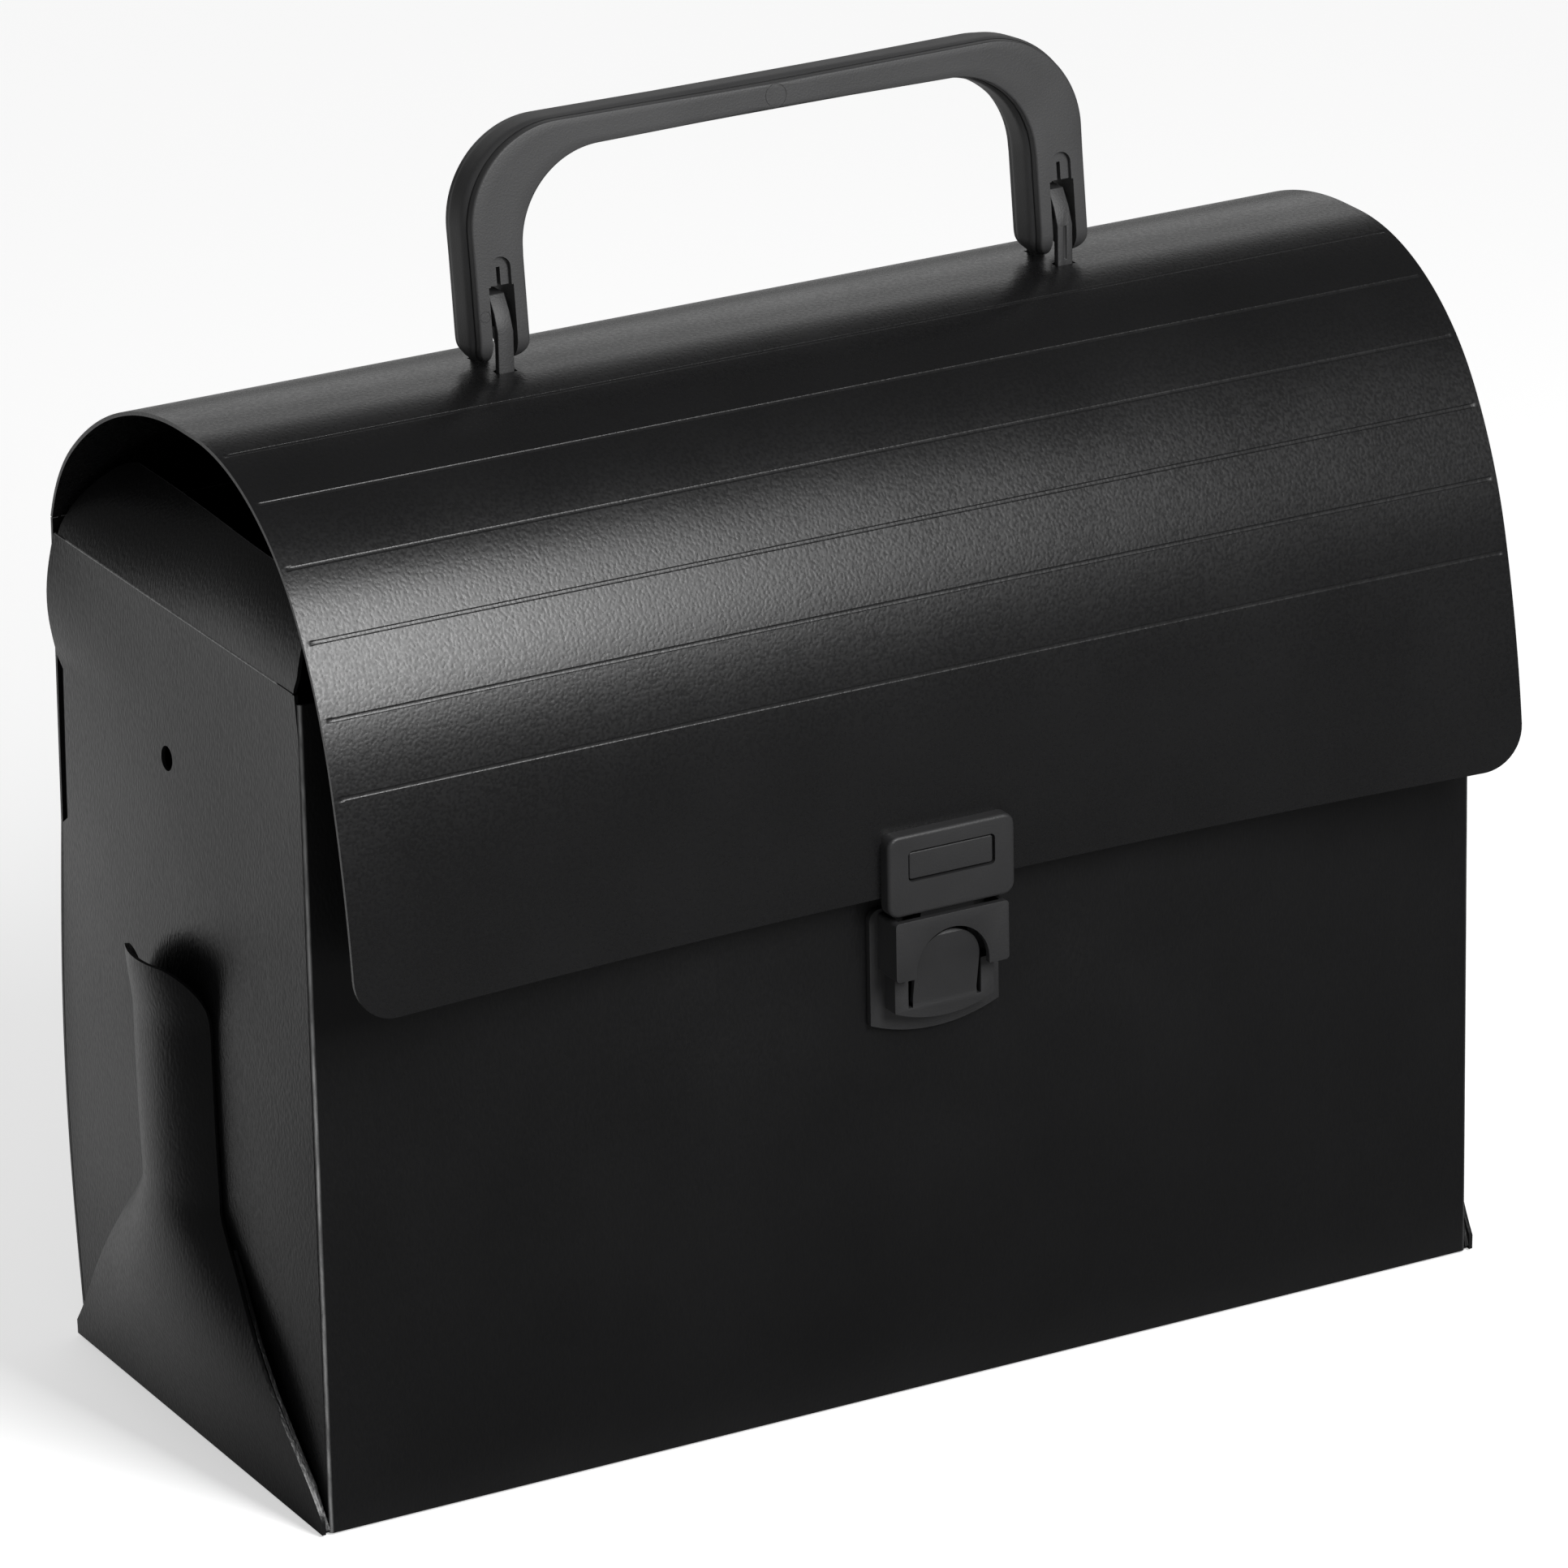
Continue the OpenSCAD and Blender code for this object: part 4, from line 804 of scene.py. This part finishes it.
def hinge_beads():
    z, y = BACK_H + CREASE_GAP / 2, hinge[1] - SHEET / 2
    end = HALF_W - CREASE_END
    xs = [-end, -end + LID_BEAD_TAPER, end - LID_BEAD_TAPER, end]
    bead("lid_crease_bead", [(x, y, z, BEAD_WHITE) for x in xs], LID_BEAD_R)
    z = END_H + CREASE_GAP / 2
    ys = [-FLAP_FOOT, -FLAP_FOOT + FLAP_BEAD_TAPER, -WHITE_END - WHITE_FADE, -WHITE_END,
          WHITE_END, WHITE_END + WHITE_FADE, FLAP_BACK - FLAP_BEAD_TAPER, FLAP_BACK]
    for side, name in ((-1, "left"), (1, "right")):
        x = side * (HALF_W - FLAP_BEAD_IN)
        bead(name + "_flap_bead", [(x, y, z, 1.0 if abs(y) <= WHITE_END else 0.0) for y in ys], FLAP_BEAD_R)


# ---------------------------------------------------------------- handle
HANDLE_RISE, LEG_REACH, LEAN = 37.7, 8.5, math.radians(6)
LEG_W, GRIP_H, OUTER_R, INNER_R = 12.5, 6.9, 20.0, 18.0
PAD_RISE, PAD_INSET, EDGE_R, BODY_D = 0.65, 0.8, 3.2, 10.2
FULL_D = BODY_D + 2 * PAD_RISE
FORK_W, FORK_PLAY, RECESS_H, RECESS_W, RECESS_D, RECESS_SLOT, SLOT_D = 5.4, 0.3, 5.8, 4.6, 1.0, 0.8, 1.6
LEG_END_R, LEG_TIP_R, BAR_R, BAR_SINK = 4.6, 3.4, 2.2, 0.5
GROOVE_D, GROOVE_W, GROOVE_LIP = 0.3, 0.12, 0.16
PAD_EDGE = [(0.03, 0.5), (0.12, 0.24), (0.3, 0.07), (0.6, 0.0)]     # in from the pad's foot, below its face
PAD_FLAT = 0.3                          # share of the width where the pad's flat face starts
MARK_HALF, MARK_DEPTH = 0.09, 0.1
LEG_X = handle_half - LEG_W / 2
GRIP_MARK = (0, HANDLE_RISE - GRIP_H / 2, 2.3)    # ejector marks: x, z and radius
LEG_MARK = (-LEG_X - 4, 1.25, 1.1)
FORK_TOP = math.hypot(HOOK_LEG_Y + HOOK_T / 2, HOOK_SHOULDER) + FORK_PLAY


def handle_section(outer, inner, inset=0.0):
    """Closed section of the handle, with both faces standing back by inset: an oval body with a
    raised pad behind a fine groove on each face."""
    outer, inner = np.array(outer), np.array(inner)
    w = np.linalg.norm(inner - outer)
    across = (inner - outer) / w
    hd = BODY_D / 2 - inset
    r = min(EDGE_R, 0.48 * w, 0.95 * hd)
    sink = math.acos(min(1.0, (r - PAD_INSET + GROOVE_LIP) / r))
    wall = hd - r + r * math.sin(sink)
    top = FULL_D / 2 - inset
    # from the middle of the side to the pad, as (distance in from the side, depth)
    quarter = [(0.0, 0.0), (0.0, (hd - r) / 2), (0.0, hd - r)]
    quarter += [(r - r * math.cos(a), hd - r + r * math.sin(a)) for a in sink * steps(0, 1, 4)[1:]]
    quarter += [(PAD_INSET - GROOVE_W, wall - GROOVE_D), (PAD_INSET, wall - GROOVE_D)]
    quarter += [(PAD_INSET + in_from, top - below) for in_from, below in PAD_EDGE] + [(PAD_FLAT * w, top)]
    half = quarter + [(w - u, d) for u, d in quarter[::-1]]
    loop = [(u, -d) for u, d in half] + [(u, d) for u, d in half[::-1][1:-1]]
    return [(outer[0] + across[0] * u, d, outer[1] + across[1] * u) for u, d in loop]


def handle_stations():
    """Outer point, inner point (x, z) about the pivot and inset of the faces, from leg to leg."""
    half = []
    for a in np.radians(range(84, 11, -8)):
        z = LEG_END_R * (1 - math.sin(a))
        narrow = LEG_TIP_R - math.sqrt(LEG_TIP_R ** 2 - max(0.0, LEG_TIP_R - z) ** 2)
        half.append(((-handle_half + narrow, z - LEG_REACH), (-handle_half + LEG_W - narrow, z - LEG_REACH),
                     LEG_END_R * (1 - math.cos(a))))
    half += [((-handle_half, z), (-handle_half + LEG_W, z), 0.0)
             for z in spaced(LEG_END_R - LEG_REACH, HANDLE_RISE - GRIP_H - INNER_R - 1, 3)]
    for a in np.radians(steps(0, 90, 30)):
        along, down = 1 - math.cos(a), 1 - math.sin(a)
        half.append(((-handle_half + OUTER_R * along, HANDLE_RISE - OUTER_R * down),
                     (-handle_half + LEG_W + INNER_R * along, HANDLE_RISE - GRIP_H - INNER_R * down), 0.0))
    (outer_x, outer_z), (inner_x, inner_z) = half[-1][:2]
    for g in steps(0.15, 1, 5):
        half.append(((outer_x * (1 - g), outer_z), (inner_x * (1 - g), inner_z), 0.0))
    return half + [((-o[0], o[1]), (-i[0], i[1]), inset) for o, i, inset in half[-2::-1]]


def ring_mark(x, z, r):
    """Cutter for the fine circle that an ejector pin leaves on the front pad."""
    n = 40
    deep, clear = -FULL_D / 2 + MARK_DEPTH, -FULL_D / 2 - 1
    section = ((-MARK_HALF, deep), (-MARK_HALF, clear), (MARK_HALF, clear), (MARK_HALF, deep))
    turns = np.radians(steps(0, 360 - 360 / n, n - 1))
    loops = [[(x + (r + d) * math.cos(t), y, z + (r + d) * math.sin(t)) for t in turns] for d, y in section]
    return loft("mark", [list(ring) for ring in zip(*loops)], closed=True)


def fork_cutters(x):
    """Cutters for a leg's open fork and, above it, for the slotted arch in each face."""
    r = RECESS_W / 2
    top = FORK_TOP + RECESS_H
    fork = [(x - FORK_W / 2, -LEG_REACH - 1), (x + FORK_W / 2, -LEG_REACH - 1),
            (x + FORK_W / 2, FORK_TOP), (x - FORK_W / 2, FORK_TOP)]
    arch = [(x - r, FORK_TOP - 1), (x + r, FORK_TOP - 1)]
    arch += [(x + r * math.cos(t), top - r + r * math.sin(t)) for t in np.radians(steps(0, 180, 24))]
    slot = [(x - RECESS_SLOT / 2, FORK_TOP - 1), (x + RECESS_SLOT / 2, FORK_TOP - 1),
            (x + RECESS_SLOT / 2, top - r / 2 - 1), (x - RECESS_SLOT / 2, top - r / 2 - 1)]
    cutters = [solid("fork", fork, "Y", -FULL_D, FULL_D)]
    for side in (-1, 1):
        for name, outline, depth in (("arch", arch, RECESS_D), ("slot", slot, RECESS_D + SLOT_D)):
            cutters.append(solid(name, outline, "Y", *sorted((side * FULL_D, side * (FULL_D / 2 - depth)))))
    return cutters


def handle():
    """Handle and cross bars, made upright about the pivot and then leaned back."""
    obj = loft("handle_moulding", [handle_section(*s) for s in handle_stations()])
    marks = [ring_mark(*GRIP_MARK), ring_mark(*LEG_MARK)]
    cut(obj, fork_cutters(-LEG_X) + fork_cutters(LEG_X) + marks)
    reach = FORK_W / 2 + BAR_SINK
    bars = [solid(name + "_cross_bar", disc(0, 0, BAR_R), "X", x - reach, x + reach)
            for name, x in (("left", -LEG_X), ("right", LEG_X))]
    at_pivot = Matrix.Translation(Vector(pivot) * MM) @ Matrix.Rotation(-LEAN, 4, "X")
    for piece in [obj] + bars:
        piece.data.transform(at_pivot)
        mark_sharp(piece.data, HANDLE_SHARP_TURN)
    place(obj, "handle", HANDLE_GREY, ["handle"])
    for bar in bars:
        place(bar, "handle", HANDLE_GREY)


# ---------------------------------------------------------------- lock and hooks
WINDOW_W, WINDOW_H, WINDOW_R, WINDOW_GAP, WINDOW_RISE = 19.5, 6.4, 1.0, 0.4, 1.8
HASP_R, HASP_SOFT, HASP_LIFT = 2.5, 0.8, 0.3
INSERT_R, INSERT_SOFT, INSERT_SUNK, INSERT_BACK = 0.5, 0.25, 0.3, 1.3
PRONG_HALF, PRONG_ROOT_DROP = 6.0, 0.7
PRONG_FRONT, PRONG_BACK, NOSE_BACK = 1.3, 2.3, 2.6    # depths behind the hasp's seat
NOSE_LOW, NOSE_HIGH = 1.2, 1.6          # heights over the prong's low end
BOSS_GAP = 0.4
BOSS_TOP = LID_EDGE_Z - BOSS_GAP
CLAMP_T, CLAMP_IN, CLAMP_R = 1.5, 1.5, 2.0
LOCK_SOFT, HOOK_SOFT = 0.35, 0.2        # width of the rounded edges
SOFT_TURN = 35                          # edges that turn by more degrees than this are rounded
WEB_FOOT, WEB_OVER = 0.6, 0.1           # how far the web reaches below the tongue and over its axis


def slab(name, low, high, front, back, corner_r, soft):
    """Plate in the XZ plane whose front edge is rounded off by soft."""
    turns = np.radians(steps(0, 90, 6))
    levels = [(0, back)] + [(soft * (1 - math.cos(a)), front + soft * (1 - math.sin(a))) for a in turns]
    rings = []
    for inset, y in levels:
        outline = round_box(low[0] + inset, low[1] + inset, high[0] - inset, high[1] - inset,
                            max(corner_r - inset, 0.05))
        rings.append([(x, y, z) for x, z in outline])
    return loft(name, rings)


def hasp():
    """Hasp plate on the lid with its window, and the insert that fills it."""
    node_low, node_high = corners("hasp_plate")
    half, front, top = node_high[0], node_low[1], node_high[2]
    back = HASP_SEAT_Y
    low = LOCK_Z + HASP_LIFT
    mid = (low + top) / 2 + WINDOW_RISE
    plate = slab("hasp_plate_moulding", (-half, low), (half, top), front, back, HASP_R, HASP_SOFT)
    w, h = WINDOW_W / 2, WINDOW_H / 2
    window = round_box(-w, mid - h, w, mid + h, WINDOW_R)
    cut(plate, [solid("window", window, "Y", front - 1, back + 1)])
    prong_low = node_low[2]
    prong = [(back - 1, BOSS_TOP), (back - 1, low), (back - 1, LOCK_Z - PRONG_ROOT_DROP),
             (back + PRONG_FRONT, prong_low), (back + PRONG_BACK, prong_low),
             (back + NOSE_BACK, prong_low + NOSE_LOW), (back + PRONG_BACK, prong_low + NOSE_HIGH),
             (back + PRONG_BACK, BOSS_TOP)]
    add(plate, [solid("prong", prong, "X", -PRONG_HALF, PRONG_HALF)])
    mark_sharp(plate.data)
    place(plate, "lid", LOCK_GREY, ["hasp_plate"])
    w, h = w - WINDOW_GAP, h - WINDOW_GAP
    insert = slab("hasp_insert_moulding", (-w, mid - h), (w, mid + h), front + INSERT_SUNK,
                  back + INSERT_BACK, INSERT_R, INSERT_SOFT)
    backing_low, backing_high = corners("hasp_backing")
    clamp = round_box(-half + CLAMP_IN, backing_low[2], half - CLAMP_IN, backing_high[2], CLAMP_R)
    add(insert, [solid("clamp", clamp, "Y", backing_high[1] - CLAMP_T, backing_high[1])])
    mark_sharp(insert.data)
    place(insert, "lid", LOCK_GREY, ["hasp_backing"])


def softened(node, body, material, width):
    """Copy of a CAD node with its edges rounded."""
    obj = bpy.data.objects.new(node + "_soft", nodes[node].data.copy())
    bpy.context.scene.collection.objects.link(obj)
    bm = bmesh.new()
    bm.from_mesh(obj.data)
    bmesh.ops.remove_doubles(bm, verts=bm.verts, dist=1e-6)
    bmesh.ops.dissolve_limit(bm, angle_limit=math.radians(1.0), verts=bm.verts, edges=bm.edges)
    bmesh.ops.recalc_face_normals(bm, faces=bm.faces)
    bm.to_mesh(obj.data)
    bm.free()
    modifier = obj.modifiers.new("round", "BEVEL")
    modifier.width = width * MM
    modifier.segments = 3
    modifier.limit_method = "ANGLE"
    modifier.angle_limit = math.radians(SOFT_TURN)
    modifier.harden_normals = False
    apply_modifiers(obj)
    mark_sharp(obj.data)
    place(obj, body, material, [node])
    return obj


def moulded_parts():
    housing = softened("catch_housing", "case", LOCK_GREY, LOCK_SOFT)
    # the thin web that the release tongue bends on
    low, high = corners("release_tongue")
    half = press[2] - low[2]
    foot, head = low[2] - WEB_FOOT, press[2] + WEB_OVER
    front, back = press[1] - half, press[1] + half
    web = [(front, foot), (back, foot), (back, head), (front, head)]
    add(housing, [solid("web", web, "X", low[0], high[0])])
    mark_sharp(housing.data)
    softened("release_tongue", "release_tongue", LOCK_GREY, LOCK_SOFT)
    for hook in ("left_hook", "right_hook"):
        softened(hook, "lid", HOOK_GREY, HOOK_SOFT)


def dress_cad_nodes():
    """Materials for the CAD nodes that stay."""
    looks = {
        CASE_BLACK: ["bottom_panel", "left_side_flap", "right_side_flap", "left_front_web", "left_back_web",
                     "right_front_web", "right_back_web"],
        LOCK_GREY: ["catch_backing"],
        HANDLE_GREY: ["left_hook_retainer", "right_hook_retainer"],
    }
    for material, names in looks.items():
        for name in names:
            nodes[name].data.materials.clear()
            nodes[name].data.materials.append(material)


# ---------------------------------------------------------------- studio
AZIMUTH, ELEVATION, ROLL = math.radians(-28.547), math.radians(21.186), math.radians(1.131)
TARGET = Vector((3.336, 0, 110.885)) * MM
DISTANCE = 1982.97 * MM
LENS = 225.88
ROOM_LIGHT, ROOM_GLOSSY = 0.28, 0.06    # strength of the room's light, and what glossy rays see of it
CAMERA_FLOOR, GLOSSY_FLOOR = 0.5, 0.19  # the floor's own light, to the camera and to glossy rays
PAPER, PAPER_ROUGH, PAPER_SHEEN = (0.95, 0.95, 0.95), 0.9, 0.1
NEAR_GREY, BACK_GREY = 0.05, 0.95       # the floor's grey to glossy rays, in front and behind
FLOOR_TURN = (-0.07, 0.09)              # where one turns into the other, in metres
SLANT_FROM, SLANT = 0.14, 0.6           # further left than this the turn slants back
FAR_FADE, FAR_GREY = (0.7, 2.5), 0.2    # where the floor fades far behind, and to what share
FLOOR_HALF, FLOOR_DROP = 6.0, 0.0005


def camera():
    back = Vector((math.sin(AZIMUTH) * math.cos(ELEVATION), -math.cos(AZIMUTH) * math.cos(ELEVATION),
                   math.sin(ELEVATION)))
    right = Vector((math.cos(AZIMUTH), math.sin(AZIMUTH), 0))
    up = back.cross(right)
    rolled_right = math.cos(ROLL) * right - math.sin(ROLL) * up
    rolled_up = math.sin(ROLL) * right + math.cos(ROLL) * up
    data = bpy.data.cameras.new("camera")
    data.lens = LENS
    data.sensor_width = 36
    obj = bpy.data.objects.new("camera", data)
    bpy.context.scene.collection.objects.link(obj)
    turn = Matrix((rolled_right, rolled_up, back)).transposed().to_4x4()
    obj.matrix_world = Matrix.Translation(TARGET + DISTANCE * back) @ turn
    bpy.context.scene.camera = obj


def softbox(name, position, aim, size, power):
    """Rectangular light of a size in metres and a power in watts, turned to a point."""
    data = bpy.data.lights.new(name, "AREA")
    data.shape = "RECTANGLE"
    data.size, data.size_y = size
    data.energy = power
    obj = bpy.data.objects.new(name, data)
    bpy.context.scene.collection.objects.link(obj)
    turn = (Vector(aim) - Vector(position)).to_track_quat("-Z", "Y").to_matrix().to_4x4()
    obj.matrix_world = Matrix.Translation(position) @ turn


def studio():
    softbox("key_light", position=(0.14, -0.80, 0.70), aim=(-0.08, -0.06, 0.16), size=(0.32, 0.56), power=9)
    softbox("back_light", position=(0.75, 1.9, 0.75), aim=(0, 0.02, 0.2), size=(2.4, 0.9), power=4.6)
    world = bpy.data.worlds.new("studio_world")
    bpy.context.scene.world = world
    world.use_nodes = True
    tree = world.node_tree
    background = tree.nodes["Background"]
    path = tree.nodes.new("ShaderNodeLightPath")
    fill = ramp(tree, path.outputs["Is Glossy Ray"], 0, 1, ROOM_LIGHT, ROOM_GLOSSY)
    strength = math_node(tree, "MAXIMUM", fill, path.outputs["Is Camera Ray"])
    tree.links.new(strength, background.inputs["Strength"])
    background.inputs["Color"].default_value = (1, 1, 1, 1)
    floor()


def floor():
    """Pale paper floor, white to the camera but for the case's shadow, and dark in front to glossy rays."""
    material, tree, shader = new_material("floor_paper")
    path = tree.nodes.new("ShaderNodeLightPath")
    to_camera, glossy = path.outputs["Is Camera Ray"], path.outputs["Is Glossy Ray"]
    split = tree.nodes.new("ShaderNodeSeparateXYZ")
    tree.links.new(tree.nodes.new("ShaderNodeTexCoord").outputs["Object"], split.inputs["Vector"])
    x, y = split.outputs["X"], split.outputs["Y"]
    left = math_node(tree, "MINIMUM", math_node(tree, "ADD", x, SLANT_FROM), 0.0)
    slanted = math_node(tree, "ADD", y, math_node(tree, "MULTIPLY", left, SLANT))
    grey = math_node(tree, "MULTIPLY", ramp(tree, slanted, *FLOOR_TURN, NEAR_GREY, BACK_GREY),
                     ramp(tree, y, *FAR_FADE, 1.0, FAR_GREY))
    tree.links.new(blend_colour(tree, glossy, PAPER, grey), shader.inputs["Base Color"])
    shader.inputs["Roughness"].default_value = PAPER_ROUGH
    shader.inputs["Specular IOR Level"].default_value = PAPER_SHEEN
    shader.inputs["Emission Color"].default_value = (1, 1, 1, 1)
    own_light = math_node(tree, "MAXIMUM", math_node(tree, "MULTIPLY", to_camera, CAMERA_FLOOR),
                          math_node(tree, "MULTIPLY", glossy, GLOSSY_FLOOR))
    grey_or_white = math_node(tree, "MAXIMUM", grey, to_camera)
    emission = math_node(tree, "MULTIPLY", own_light, grey_or_white)
    tree.links.new(emission, shader.inputs["Emission Strength"])
    mesh = bpy.data.meshes.new("floor")
    r = FLOOR_HALF
    mesh.from_pydata([(-r, -r, 0), (r, -r, 0), (r, r, 0), (-r, r, 0)], [], [(0, 1, 2, 3)])
    obj = bpy.data.objects.new("floor", mesh)
    obj.location.z = -FLOOR_DROP
    bpy.context.scene.collection.objects.link(obj)
    mesh.materials.append(material)
    return obj


camera()
front_panel()
back_panel()
end_panels()
bottom_flaps()
lid_sheet()
dust_flaps()
hinge_beads()
handle()
hasp()
moulded_parts()
dress_cad_nodes()
studio()
bpy.context.scene.view_settings.view_transform = "Standard"
bpy.context.view_layer.update()
